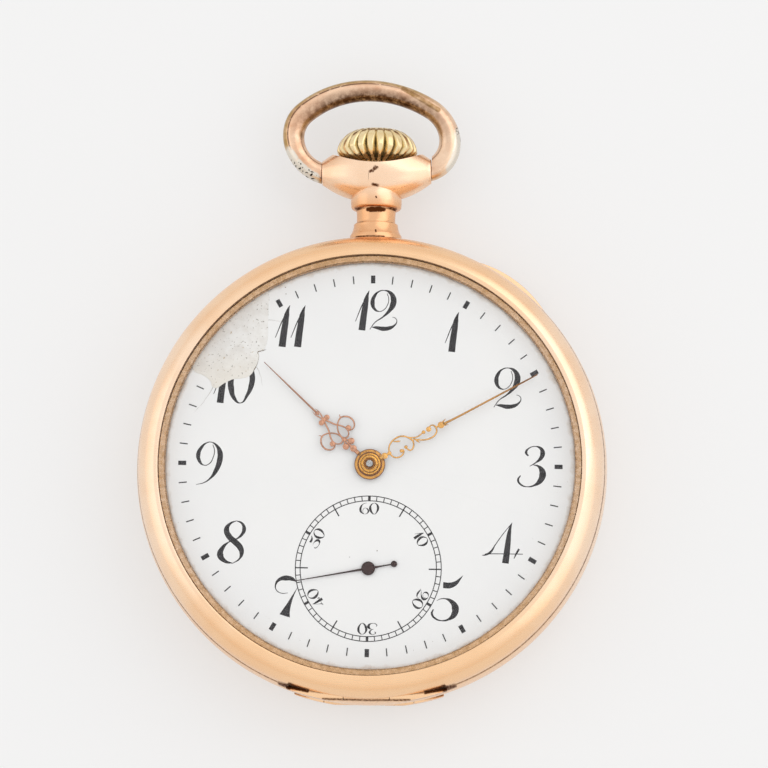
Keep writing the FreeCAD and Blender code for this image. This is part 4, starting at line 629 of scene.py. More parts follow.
@dataclass(frozen=True)
class TrainMetal(Finish):
    """Brass or steel of the train: brass dipped in gold, steel ground and polished, with a hair-fine grain."""

    tone: str = "#d9b36a"
    dull: str = "#b98f4c"
    roughness: float = 0.28
    grain_mm: float = 0.25

    def shade(self, node: Adder) -> bpy.types.Node:
        """Even metal with a faint grain.

        Args:
            node: Adds a node to the material's empty tree.

        Returns:
            Shader for the output.
        """
        where = node("TexCoord").outputs["Object"]
        # The grain is drawn four times as coarse as it is, so that it shows.
        stretched = node("Mapping", {"Vector": where, "Scale": (1.0, 9.0, 9.0)})
        grain = node("TexNoise", [stretched, per_metre(self.grain_mm * 4), 4.0, 0.6])
        colour = painted(node, linear(self.tone), (node("MapRange", [grain, 0.35, 0.7]), self.dull))
        rough = node("MapRange", [grain, 0.3, 0.7, self.roughness * 0.8, self.roughness * 1.25])
        return surface(node, colour, rough, (grain, 0.15, 0.01), METALLIC)


@dataclass(frozen=True)
class Ruby(Finish):
    """Synthetic ruby bearing: clear deep red, polished, with light pooled in it."""

    def shade(self, node: Adder) -> bpy.types.Node:
        """Red stone, slightly clouded.

        Args:
            node: Adds a node to the material's empty tree.

        Returns:
            Shader for the output.
        """
        where = node("TexCoord").outputs["Object"]
        cloud = patches(node, where, (0.4, 3.0, 0.55), 0.3, 0.7)
        colour = painted(node, linear("#b3123a"), (cloud, "#d8345a"))
        return node("BsdfPrincipled", {"Base Color": colour, "Roughness": 0.05, "IOR": 1.77,
                                       "Transmission Weight": 0.35})


@dataclass(frozen=True)
class StudioPaper(Finish):
    """Seamless white paper under the watch: matt, and open from below so that the back can be looked at."""

    tone: str = "#f4f4f4"
    even: float = 0.5

    def shade(self, node: Adder) -> bpy.types.Node:
        """White paper, half evened out where it is looked at, and clear from behind.

        Args:
            node: Adds a node to the material's empty tree.

        Returns:
            Shader for the output.
        """
        where = node("TexCoord").outputs["Object"]
        fibre = patches(node, where, (60.0, 2.0, 0.55), 0.3, 0.7, 0.0, 0.4)
        matt = node("BsdfDiffuse", {"Color": painted(node, linear(self.tone), (fibre, "#f2f2f2"))})
        glow = node("Emission", {"Color": linear("#f6f6f6")})
        paper = node("MixShader", [both(node, looked_at(node), self.even), matt, glow])
        return node("MixShader", [node("NewGeometry").outputs["Backfacing"], paper, node("BsdfTransparent")])


# Painted shade in the hinges: dark wedges where the bezel is cut away over the ends of the knuckles, and a line in the
# gap between the knuckles.
HINGE_SHADE_MARKS = tuple(mark for way in (-1, 1) for mark in (
    Mark((way * 9.35, -23.35, 8.5), (way * 8.2, -23.68, 8.5), 0.36, 1.6),
    Mark((way * 8.5, -23.63, 8.5), (way * 6.2, -24.1, 8.5), 0.22, 1.3),
    Mark((way * 6.2, -24.12, 8.5), (way * 4.6, -24.3, 8.5), 0.1, 0.5),
    Mark((way * 4.6, -24.86, 8.5), (0.0, -24.94, 8.5), 0.15, 0.8)))
# Painted shadow on the top of the thumb lip, along the band above it.
LIP_SHADOW_MARKS = (Mark((10.35, 23.25, 2.35), (12.73, 22.04, 2.35), 0.16, 0.9),
             Mark((12.73, 22.04, 2.35), (14.96, 20.59, 2.35), 0.16, 0.8),
             Mark((14.96, 20.59, 2.35), (16.7, 19.2, 2.35), 0.14, 0.5))
CASE_GOLD = RolledGold("rolled_gold_case", hollow_mm=0.6, seam_mm=7.72, marks=HINGE_SHADE_MARKS + LIP_SHADOW_MARKS)
BEZEL_GOLD = RolledGold("rolled_gold_bezel", hollow_mm=0.6, rim_mm=22.47, rim_width_mm=0.08, seam_mm=7.85,
                        marks=HINGE_SHADE_MARKS)
# On the pendant, the two dark pills and the band just under the collar are painted shade; the other marks are a chip
# and a crack on the head, a chip on the collar, and small dark marks on the neck and foot.
PENDANT_GOLD = RolledGold("rolled_gold_pendant", tone="#fcdabb", deep="#e9ae7c", hollow_mm=0.7, warm_mm=29.6, marks=(
    Mark((-0.6, 32.05, 8.3), (0.2, 32.5, 8.3), 0.2), Mark((-0.3, 32.1, 8.3), (-0.05, 32.6, 8.3), 0.2),
    Mark((-0.75, 31.9, 8.3), (-0.78, 30.5, 8.1), 0.04, 0.8), Mark((-0.3, 30.75, 7.9), (0.25, 30.65, 7.9), 0.2),
    Mark((0.08, 29.4, 7.8), (0.12, 29.3, 7.8), 0.12), Mark((-0.5, 28.12, 7.0), (0.55, 28.14, 7.0), 0.34, 2.4),
    Mark((-0.8, 28.14, 6.9), (0.9, 28.16, 6.9), 0.28, 2.0), Mark((-2.2, 28.35, 6.0), (2.2, 28.35, 6.0), 0.2, 1.0),
    Mark((-2.3, 26.86, 6.0), (-1.3, 26.8, 6.9), 0.1), Mark((1.75, 26.86, 6.6), (2.3, 26.86, 6.0), 0.1),
    Mark((0.1, 25.75, 7.7), (0.14, 25.55, 7.7), 0.12), Mark((-2.0, 25.1, 7.1), (1.0, 25.05, 7.7), 0.14, 0.9)))
CROWN_GOLD = RolledGold("gilt_brass_crown", tone="#f3dfb0", pale="#f3dfb0", deep="#d0ab6c", grime_and_shade="#27240f",
                        roughness=0.2, hollow_mm=0.8)
COVER_GILT = RolledGold("gilt_brass_inner_cover", tone="#ecc892", pale="#f0d2a0", deep="#d9a768", roughness=0.14)
BOW_METAL = WornBow("silvered_bow_worn")
DIAL_ENAMEL = Enamel("white_fired_enamel")
DIAL_INK = FiredInk("dark_fired_ink")
DIAL_FILLER = FillerPaste("cream_repair_paste")
OLD_DIRT = Dirt("brown_dirt_in_cracks")
GLASS = WatchGlass("domed_soda_glass")
ROSE_HAND = HandMetal("rose_gilt_brass_hand", tone="#cf9879", worn="#74493a", hub="#d69c4c", hub_mm=1.7,
                      rings=((1.7, 0.09), (1.33, 0.07)), needle_mm=7.5)
YELLOW_HAND = HandMetal("yellow_gilt_brass_hand", tone="#edb567", worn="#87551f", roughness=0.26, hub="#dfa54f",
                        hub_mm=1.3, rings=((1.27, 0.08), (1.0, 0.06), (0.58, 0.2)), needle_mm=8.0)
BLUED_HAND = HandMetal("browned_steel_hand", tone="#3f2c2a", worn="#231a1b", roughness=0.35)
NICKEL = StripedNickel("striped_nickel_plate")
BRASS = TrainMetal("gilt_brass_wheel")
STEEL = TrainMetal("ground_steel", tone="#c3c3c4", dull="#98989a", roughness=0.24)
BLUED = TrainMetal("heat_blued_steel", tone="#2a3f7d", dull="#1d2b57", roughness=0.2)
HINGE_STEEL = TrainMetal("darkened_hinge_steel", tone="#8a7a68", dull="#5f5144", roughness=0.35)
RUBY = Ruby("ruby_bearing")
PAPER = StudioPaper("seamless_white_paper")
FINISH_OF_SLOT = {
    "hinge_steel": HINGE_STEEL, "nickel_plate": NICKEL, "train_brass": BRASS, "train_steel": STEEL,
    "blued_steel": BLUED, "balance_gilt": BRASS, "ruby": RUBY,
}


# ---------------------------------------------------------------- drawing and turning

class Section:
    """Section of a turned piece, drawn in millimetres as (radius, height) with bmesh operators."""

    def __init__(self, radius: float, height: float) -> None:
        """Put the pen down at the first corner.

        Args:
            radius: Distance of the corner from the spindle.
            height: Place of the corner along the spindle.
        """
        self.mesh = bmesh.new()
        self.tip = bmesh.ops.create_vert(self.mesh, co=(radius, 0.0, height))["vert"][0]
        self.first = self.tip

    def line(self, radius: float, height: float) -> "Section":
        """Draw a straight line to a corner.

        Args:
            radius: Radius of the corner it ends at.
            height: Height of that corner.

        Returns:
            The section itself.
        """
        made = bmesh.ops.extrude_vert_indiv(self.mesh, verts=[self.tip])["verts"][0]
        bmesh.ops.translate(self.mesh, verts=[made], vec=Vector((radius, 0.0, height)) - made.co)
        self.tip = made
        return self

    def lines(self, *corners: Point) -> "Section":
        """Draw straight lines through several corners.

        Args:
            corners: Radius and height of each corner.

        Returns:
            The section itself.
        """
        for corner in corners:
            self.line(*corner)
        return self

    def arc(self, radius: float, height: float, bend: float, side: Side, steps: int = 12) -> "Section":
        """Draw an arc shorter than a half turn.

        Args:
            radius: Radius of the corner it ends at.
            height: Height of that corner.
            bend: Radius of the arc.
            side: Side of the way that its centre lies on.
            steps: Number of straight pieces it is drawn with.

        Returns:
            The section itself.
        """
        start, end = self.tip.co.copy(), Vector((radius, 0.0, height))
        chord = end - start
        across = Vector((-chord.z, 0.0, chord.x)).normalized() * side.value
        centre = (start + end) / 2 + across * math.sqrt(max(bend ** 2 - (chord.length / 2) ** 2, 0.0))
        turn = 2 * math.asin(min(chord.length / 2 / bend, 1.0))
        made = bmesh.ops.spin(self.mesh, geom=[self.tip], cent=centre, axis=(0.0, -side.value, 0.0),
                              angle=turn, steps=steps, use_merge=False, use_duplicate=False)
        self.tip = [part for part in made["geom_last"] if isinstance(part, bmesh.types.BMVert)][0]
        return self

    def close(self) -> "Section":
        """Join the last corner to the first."""
        self.mesh.edges.new((self.tip, self.first))
        return self

    def turned(self, spindle: Spindle = Spindle.UPRIGHT, steps: int = 288) -> bmesh.types.BMesh:
        """Turn the section all the way round.

        Args:
            spindle: Line that it is turned about.
            steps: Number of facets round the piece.

        Returns:
            Closed mesh in millimetres, its axis standing at the origin.
        """
        bmesh.ops.spin(self.mesh, geom=self.mesh.verts[:] + self.mesh.edges[:], cent=(0.0, 0.0, 0.0),
                       axis=(0.0, 0.0, 1.0), angle=TURN, steps=steps, use_merge=True, use_duplicate=False)
        bmesh.ops.remove_doubles(self.mesh, verts=self.mesh.verts, dist=0.0005)
        if spindle is Spindle.STEM:
            bmesh.ops.rotate(self.mesh, verts=self.mesh.verts, cent=(0.0, 0.0, 0.0),
                             matrix=Matrix.Rotation(-math.pi / 2, 3, "X"))
        bmesh.ops.recalc_face_normals(self.mesh, faces=self.mesh.faces)
        return self.mesh


def soften(mesh: bmesh.types.BMesh, width: float, angle: float = 25.0, segments: int = 2) -> None:
    """Round every edge sharper than an angle.

    Args:
        mesh: Mesh in millimetres.
        width: Width taken from each side of the edge.
        angle: Smallest angle, in degrees, that counts as an edge.
        segments: Facets across the rounding.
    """
    edges = [edge for edge in mesh.edges
             if edge.is_manifold and edge.calc_face_angle(0.0) > math.radians(angle)]
    bmesh.ops.bevel(mesh, geom=edges, offset=width, offset_type="OFFSET", affect="EDGES", segments=segments,
                    profile=0.5, material=-1, clamp_overlap=True)


def rod(radius: float, start: Place, end: Place, facets: int = 48) -> bmesh.types.BMesh:
    """Round rod between two places, in millimetres.

    Args:
        radius: Radius of the rod.
        start: Middle of one end.
        end: Middle of the other end.
        facets: Number of facets round it.

    Returns:
        Closed mesh in millimetres.
    """
    mesh = bmesh.new()
    start, end = Vector(start), Vector(end)
    along = end - start
    bmesh.ops.create_cone(mesh, cap_ends=True, segments=facets, radius1=radius, radius2=radius, depth=along.length)
    turn = along.to_track_quat("Z", "Y").to_matrix().to_4x4()
    bmesh.ops.transform(mesh, verts=mesh.verts, matrix=Matrix.Translation((start + end) / 2) @ turn)
    return mesh


def block(low: Place, high: Place) -> bmesh.types.BMesh:
    """Square block between two corners, in millimetres.

    Args:
        low: Corner with the smallest coordinates.
        high: Corner with the largest.

    Returns:
        Closed mesh in millimetres.
    """
    mesh = bmesh.new()
    bmesh.ops.create_cube(mesh, size=1.0)
    low, high = Vector(low), Vector(high)
    bmesh.ops.transform(mesh, verts=mesh.verts,
                        matrix=Matrix.Translation((low + high) / 2) @ Matrix.Diagonal((*(high - low), 1.0)))
    return mesh


def joined(*meshes: bmesh.types.BMesh) -> bmesh.types.BMesh:
    """Put several meshes in one, freeing the others.

    Args:
        meshes: Meshes in millimetres; the first takes in the others.

    Returns:
        The first mesh.
    """
    whole = meshes[0]
    for mesh in meshes[1:]:
        spare = bpy.data.meshes.new("spare")
        mesh.to_mesh(spare)
        mesh.free()
        whole.from_mesh(spare)
        bpy.data.meshes.remove(spare)
    return whole


def hung(name: str, data: bpy.types.ID) -> bpy.types.Object:
    """Object that shows some data, linked to the scene.

    Args:
        name: Name of the object.
        data: Mesh, curve or lamp that it shows.

    Returns:
        The new object.
    """
    made = bpy.data.objects.new(name, data)
    bpy.context.collection.objects.link(made)
    return made


def carved(mesh: bmesh.types.BMesh, tool: bmesh.types.BMesh, how: str = "DIFFERENCE") -> bmesh.types.BMesh:
    """Cut one solid with another, or join or keep what they share.

    Args:
        mesh: Solid that is worked on, in millimetres.
        tool: Solid that it is worked with. Both are freed.
        how: Name of the boolean operation.

    Returns:
        The finished solid.
    """
    objects = []
    for part in (mesh, tool):
        data = bpy.data.meshes.new("work")
        part.to_mesh(data)
        part.free()
        objects.append(hung("work", data))
    modifier = objects[0].modifiers.new("carve", "BOOLEAN")
    modifier.object, modifier.operation, modifier.solver = objects[1], how, "EXACT"
    shown = objects[0].evaluated_get(bpy.context.evaluated_depsgraph_get())
    result = bmesh.new()
    result.from_mesh(shown.data)
    for made in objects:
        data = made.data
        bpy.data.objects.remove(made)
        bpy.data.meshes.remove(data)
    return result


def present(mesh: bmesh.types.BMesh, name: str, body: str, finish: Finish, replaces: tuple[str, ...] = (),
            sharp: float = 32.0) -> bpy.types.Object:
    """Make a finished piece of a mesh in millimetres and let it ride on its body.

    Args:
        mesh: The piece in place. It is freed.
        name: Name of the piece.
        body: Body of the frame that it moves with.
        finish: What it is made of.
        replaces: Nodes of the frame that it stands for.
        sharp: Edges sharper than this many degrees stay crisp.

    Returns:
        The new object.
    """
    bmesh.ops.scale(mesh, verts=mesh.verts, vec=(MM, MM, MM))
    data = bpy.data.meshes.new(name)
    for face in mesh.faces:
        face.smooth = True
    mesh.to_mesh(data)
    mesh.free()
    data.set_sharp_from_angle(angle=math.radians(sharp))
    data.materials.append(finish.material())
    made = hung(name, data)
    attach(made, body)
    if replaces:
        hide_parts(*replaces)
    LOG.info("%s: %d faces on %s", name, len(data.polygons), body)
    return made


@dataclass(frozen=True)
class Stroke:
    """One pull of a pen: places along it with the half width of the line there."""

    places: tuple[Place, ...]
    closed: bool = False


def trace(curve: bpy.types.Curve, places: Sequence[Place], closed: bool) -> None:
    """Lay a smooth line on a curve.

    Args:
        curve: Curve in millimetres.
        places: Along, aside and radius of each place on the line.
        closed: Whether its ends meet.
    """
    spline = curve.splines.new("BEZIER")
    spline.bezier_points.add(len(places) - 1)
    spline.use_cyclic_u = closed
    for point, (x, y, radius) in zip(spline.bezier_points, places):
        point.co, point.radius = (x, y, 0.0), radius
        point.handle_left_type = point.handle_right_type = "AUTO"


def cast(curve: bpy.types.Curve, merge: float) -> bmesh.types.BMesh:
    """Make a curve a mesh. The curve is freed.

    Args:
        curve: Curve in millimetres.
        merge: Corners closer than this become one.

    Returns:
        The mesh.
    """
    drawn = hung("pen", curve)
    data = bpy.data.meshes.new_from_object(drawn.evaluated_get(bpy.context.evaluated_depsgraph_get()))
    mesh = bmesh.new()
    mesh.from_mesh(data)
    bpy.data.objects.remove(drawn)
    bpy.data.curves.remove(curve)
    bpy.data.meshes.remove(data)
    bmesh.ops.remove_doubles(mesh, verts=mesh.verts, dist=merge)
    return mesh


def penned(strokes: list[Stroke], size: float, thickness: float, round_steps: int = 2,
           curve_steps: int = 6) -> bmesh.types.BMesh:
    """Draw strokes of changing width as flat ribbons with soft edges.

    Args:
        strokes: Strokes in their own units.
        size: Millimetres to one unit.
        thickness: Height of the ribbon in millimetres.
        round_steps: Facets across the edge of the ribbon.
        curve_steps: Pieces between two places.

    Returns:
        Mesh in millimetres, lying on the plane through the origin.
    """
    curve = bpy.data.curves.new("pen", "CURVE")
    curve.dimensions = "3D"
    curve.bevel_depth = 1.0
    curve.bevel_resolution = round_steps
    curve.resolution_u = curve_steps
    curve.use_fill_caps = True
    for stroke in strokes:
        trace(curve, [(x * size, y * size, half * size) for x, y, half in stroke.places], stroke.closed)
    mesh = cast(curve, 0.0002)
    flat = thickness / 2
    for vert in mesh.verts:
        vert.co.z = flat * max(-1.0, min(1.0, vert.co.z / max(flat, 1e-6)))
    bmesh.ops.recalc_face_normals(mesh, faces=mesh.faces)
    return mesh


def placed(mesh: bmesh.types.BMesh, x: float = 0.0, y: float = 0.0, z: float = 0.0,
           turn: float = 0.0) -> bmesh.types.BMesh:
    """Turn a mesh about the upright axis, in degrees, then shift it, in millimetres.

    Args:
        mesh: Mesh in millimetres.
        x: Shift to the right.
        y: Shift towards twelve o'clock.
        z: Shift upwards.
        turn: Angle, anticlockwise from above.

    Returns:
        The same mesh.
    """
    move = Matrix.Translation((x, y, z)) @ Matrix.Rotation(math.radians(turn), 4, "Z")
    bmesh.ops.transform(mesh, verts=mesh.verts, matrix=move)
    return mesh


# ---------------------------------------------------------------- the studio

@dataclass
class Studio:
    """Camera, paper and lamps: one broad soft light and pale surroundings."""

    aim: Vector = field(default_factory=lambda: Vector((1.34, 8.74, 9.1)))
    root: Vector = field(default_factory=lambda: Vector((0.0, 0.0, 9.1)))
    azimuth: float = 20.0
    elevation: float = 82.0
    roll: float = 0.94
    distance: float = 400.0
    width: float = 81.7
    sensor: float = 36.0
    paper_size: float = 3000.0

    def build(self) -> None:
        """Set up everything that isn't the watch."""
        self.hang_camera()
        self.lay_paper()
        self.light()
        self.view()

    def hang_camera(self) -> None:
        """Look steeply down, a little from the right of the winding crown."""
        around, up = math.radians(self.azimuth), math.radians(self.elevation)
        back = Vector((math.sin(around) * math.cos(up), -math.cos(around) * math.cos(up), math.sin(up)))
        place = self.root + back * self.distance
        forward, roll = (self.aim - place).normalized(), math.radians(self.roll)
        head = Vector((-math.sin(roll), math.cos(roll), 0.0))
        right = forward.cross(head).normalized()
        above = right.cross(forward)
        data = bpy.data.cameras.new("camera")
        data.sensor_width = self.sensor
        data.lens = self.sensor * self.distance / self.width
        data.clip_start, data.clip_end = 0.01, 10.0
        camera = bpy.data.objects.new("camera", data)
        bpy.context.scene.collection.objects.link(camera)
        turn = Matrix((right, above, -forward)).transposed().to_4x4()
        camera.matrix_world = Matrix.Translation(place * MM) @ turn
        bpy.context.scene.camera = camera

    def lay_paper(self) -> None:
        """Lay white paper under the watch."""
        mesh = bmesh.new()
        bmesh.ops.create_grid(mesh, x_segments=1, y_segments=1, size=self.paper_size / 2 * MM)
        bmesh.ops.translate(mesh, verts=mesh.verts, vec=(0.0, 0.0, -0.02 * MM))
        data = bpy.data.meshes.new("paper")
        mesh.to_mesh(data)
        mesh.free()
        data.materials.append(PAPER.material())
        hung("paper", data)

    def lamp(self, name: str, place: Place, size: float, power: float,
             tint: str = "#ffffff") -> None:
        """Hang a square soft lamp that faces the watch.

        Args:
            name: Name of the lamp.
            place: Where it hangs, in millimetres.
            size: Edge of the square, in millimetres.
            power: Power in watts.
            tint: Colour of its light.
        """
        data = bpy.data.lights.new(name, "AREA")
        data.shape, data.size, data.energy = "SQUARE", size * MM, power
        data.color = linear(tint)[:3]
        made = hung(name, data)
        made.matrix_world = (Matrix.Translation(Vector(place) * MM)
                             @ (self.root - Vector(place)).to_track_quat("-Z", "Y").to_matrix().to_4x4())

    def light(self) -> None:
        """Broad soft lamps, low enough that the glass doesn't mirror them, in a pale even room."""
        self.lamp("key", (520.0, 430.0, 560.0), 900.0, 1.4)
        self.lamp("right_screen", (900.0, -220.0, 400.0), 1000.0, 0.95)
        self.lamp("left_screen", (-900.0, 40.0, 420.0), 900.0, 0.65, "#fffaf4")
        world = bpy.data.worlds.new("room")
        world.use_nodes = True
        world.node_tree.nodes.clear()
        node = partial(add, world.node_tree)
        height = node("SeparateXYZ", [node("TexCoord").outputs["Generated"]]).outputs["Z"]
        tone = painted(node, linear("#eee4da"), (node("MapRange", [height, 0.0, 0.5]), "#ffffff"))
        strength = node("MapRange", [looked_at(node), 0.0, 1.0, 0.86, 1.0])
        node("OutputWorld", {"Surface": node("Background", {"Color": tone, "Strength": strength})})
        bpy.context.scene.world = world

    def view(self) -> None:
        """Plain view of the colours."""
        bpy.context.scene.view_settings.view_transform = "Standard"


# ---------------------------------------------------------------- the case

@dataclass
class Case:
    """Case band, snapped bezel, outer and inner backs, and their two hinges under six o'clock."""

    hinge_reach: float = -24.3
    front_height: float = 8.1
    back_height: float = 2.15
    knuckle: float = 0.75
    room: float = 0.83
    bore: float = 0.38
    pin_half: float = 5.46
    clip: float = 25.3
    gap: float = 0.06
    middle: float = 2.42
    front_half: float = 8.5
    back_half: float = 8.0
    back_outer: float = 4.8
    back_inner: float = 1.6
    lip_root: float = 24.55
    lip_curve: float = 12.9
    lip_middle: float = 55.5
    lip_spread: float = 20.0

    def build(self) -> None:
        """Make every shell of the case."""
        self.band()
        self.bezel()
        self.back_cover()
        self.dust_cover()

    def pins(self, height: float, spans: list[Point], radius: float) -> bmesh.types.BMesh:
        """Round rods along a hinge line, each between two ends."""
        return joined(*[rod(radius, (start, self.hinge_reach, height), (end, self.hinge_reach, height))
                        for start, end in spans])

    def knuckles(self, height: float, spans: list[Point]) -> bmesh.types.BMesh:
        """Knuckles of one leaf, turned down to the round of the case and bored for the pin.

        Args:
            height: Height of the hinge line.
            spans: Ends of each knuckle along it.

        Returns:
            Mesh in millimetres.
        """
        low, high = height - 1.5, height + 1.5
        round_of_case = Section(0.0, low).lines((self.clip, low), (self.clip, high), (0.0, high)).turned()
        made = carved(self.pins(height, spans, self.knuckle), round_of_case, "INTERSECT")
        soften(made, 0.05, 60.0, 2)
        return made

    def band(self) -> None:
        """Bulged middle of the case with the rims that the bezel and the backs snap over."""
        section = Section(22.35, 2.4).lines((22.9, 2.4), (22.9, 1.95), (23.5, 1.95), (23.5, 2.4), (24.82, 2.4))
        section.arc(24.97, 2.55, 0.15, Side.LEFT, 3).arc(24.97, 7.65, 12.3, Side.LEFT, 26)
        section.arc(24.82, 7.8, 0.15, Side.LEFT, 3)
        section.lines((23.45, 7.8), (23.45, 8.88), (23.38, 8.95), (22.37, 8.95), (22.3, 8.88), (22.3, 6.9),
                      (21.75, 6.9), (21.75, 2.95), (22.35, 2.95)).close()
        shell = section.turned()
        shell = carved(shell, rod(STEM_BORE, (0.0, 20.0, STEM_HEIGHT), (0.0, 26.0, STEM_HEIGHT)))
        hinges = ((self.back_height, self.back_outer + self.gap, self.back_half),
                  (self.front_height, self.middle + self.gap, self.front_half))
        for height, inner, _ in hinges:
            shell = carved(shell, self.pins(height, [(-inner, inner)], self.room))
        for height, inner, half in hinges:
            shell = carved(shell, self.knuckles(height, [(-half, -inner), (inner, half)]), "UNION")
        for height in (self.front_height, self.back_height):
            shell = carved(shell, self.pins(height, [(-self.pin_half, self.pin_half)], self.bore))
        present(shell, "band", "case", CASE_GOLD, ("case_band",), sharp=12.0)

    def bezel(self) -> None:
        """Rounded ring with an inner lip that folds over the edge of the glass."""
        section = Section(23.55, 7.85).line(24.75, 7.85).arc(24.9, 8.0, 0.15, Side.LEFT, 3)
        section.arc(22.95, 10.87, 3.25, Side.LEFT, 26).arc(22.6, 10.86, 1.0, Side.LEFT, 6)
        section.arc(22.5, 10.76, 0.11, Side.LEFT, 4)
        section.lines((22.5, 9.85), (21.9, 9.85), (21.75, 9.7), (21.75, 9.2), (23.55, 9.2)).close()
        shell = section.turned()
        outer = [(-self.front_half - 0.1, -self.middle), (self.middle, self.front_half + 0.1)]
        shell = carved(shell, self.pins(self.front_height, outer, self.room))
        shell = carved(shell, self.knuckles(self.front_height, [(-self.middle, self.middle)]), "UNION")
        shell = carved(shell, self.pins(self.front_height, [(-self.pin_half, self.pin_half)], self.bore))
        present(shell, "bezel_shell", "bezel_ring", BEZEL_GOLD, ("bezel",), sharp=12.0)

    def back_cover(self) -> None:
        """Dished outer back with its thumb lip."""
        wall = 0.45
        section = Section(0.0, 0.0).line(11.0, 0.0).arc(21.3, 0.55, 74.4, Side.LEFT, 12)
        section.arc(24.88, 2.25, 4.8, Side.LEFT, 14).arc(24.78, 2.35, 0.1, Side.LEFT, 3)
        section.lines((23.6, 2.35), (23.6, 1.75)).arc(21.3, 0.55 + wall, 4.2, Side.RIGHT, 10)
        section.arc(11.0, wall, 74.0, Side.RIGHT, 12).line(0.0, wall)
        shell = carved(section.turned(), self.thumb_lip(), "UNION")
        rooms = [(-self.back_half - 0.3, -self.back_outer), (-self.back_inner - self.gap, self.back_inner + self.gap),
                 (self.back_outer, self.back_half + 0.3)]
        shell = carved(shell, self.pins(self.back_height, rooms, self.room))
        own = [(-self.back_outer, -self.back_inner - self.gap), (self.back_inner + self.gap, self.back_outer)]
        shell = carved(shell, self.knuckles(self.back_height, own), "UNION")
        shell = carved(shell, self.pins(self.back_height, [(-self.pin_half, self.pin_half)], self.bore))
        present(shell, "outer_back", "back", CASE_GOLD, ("back_cover",), sharp=24.0)

    def thumb_lip(self) -> bmesh.types.BMesh:
        """Crescent ledge for a thumb nail, beside the pendant.

        Returns:
            Mesh in millimetres.
        """
        spread = math.radians(self.lip_spread)
        reach = self.lip_root * math.cos(spread) - math.sqrt(
            self.lip_curve ** 2 - (self.lip_root * math.sin(spread)) ** 2)
        across = math.radians(self.lip_middle)
        x, y = reach * math.cos(across), reach * math.sin(across)
        disc = rod(self.lip_curve, (x, y, 1.6), (x, y, 2.35), 256)
        soften(disc, 0.14, 60.0, 3)
        return carved(disc, rod(self.lip_root - 0.5, (0, 0, 1.0), (0, 0, 3.0), 256))

    def dust_cover(self) -> None:
        """Gilt inner back."""
        wall = 0.35
        section = Section(0.0, 0.7).line(10.0, 0.7).arc(21.9, 1.35, 110.0, Side.LEFT, 12)
        section.arc(22.8, 1.98, 1.0, Side.LEFT, 8).lines((22.8, 2.3), (22.75, 2.35), (21.4, 2.35), (21.4, 1.7))
        section.arc(10.0, 0.7 + wall, 110.0, Side.RIGHT, 12).line(0.0, 0.7 + wall)
        shell = section.turned()
        tongue = block((-self.back_inner, self.hinge_reach, 1.95), (self.back_inner, -22.2, 2.35))
        shell = carved(shell, tongue, "UNION")
        shell = carved(shell, self.knuckles(self.back_height, [(-self.back_inner, self.back_inner)]), "UNION")
        shell = carved(shell, self.pins(self.back_height, [(-self.back_inner, self.back_inner)], self.bore))
        present(shell, "inner_back_dish", "inner_back", COVER_GILT, ("dust_cover",), sharp=24.0)


@dataclass
class Glass:
    """Domed crystal with a ground edge."""

    radius: float = 22.42
    base: float = 9.87
    edge: float = 0.6
    dome: float = 1.9
    hollow: float = 1.7
    hollow_radius: float = 21.9

    def build(self) -> None:
        """Turn the glass from the section of its dome."""
        outer = (self.radius ** 2 + self.dome ** 2) / (2 * self.dome)
        inner = (self.hollow_radius ** 2 + self.hollow ** 2) / (2 * self.hollow)
        rim = self.base + self.edge
        section = Section(0.0, self.base + self.hollow).arc(self.hollow_radius, self.base, inner, Side.RIGHT, 40)
        section.line(self.radius - 0.05, self.base).line(self.radius, self.base + 0.05)
        section.line(self.radius, rim - 0.05)
        section.arc(0.0, rim + self.dome, outer, Side.LEFT, 40)
        present(section.turned(), "watch_crystal", "bezel_ring", GLASS, ("crystal",), sharp=40.0)


# ---------------------------------------------------------------- pendant, bow and crown

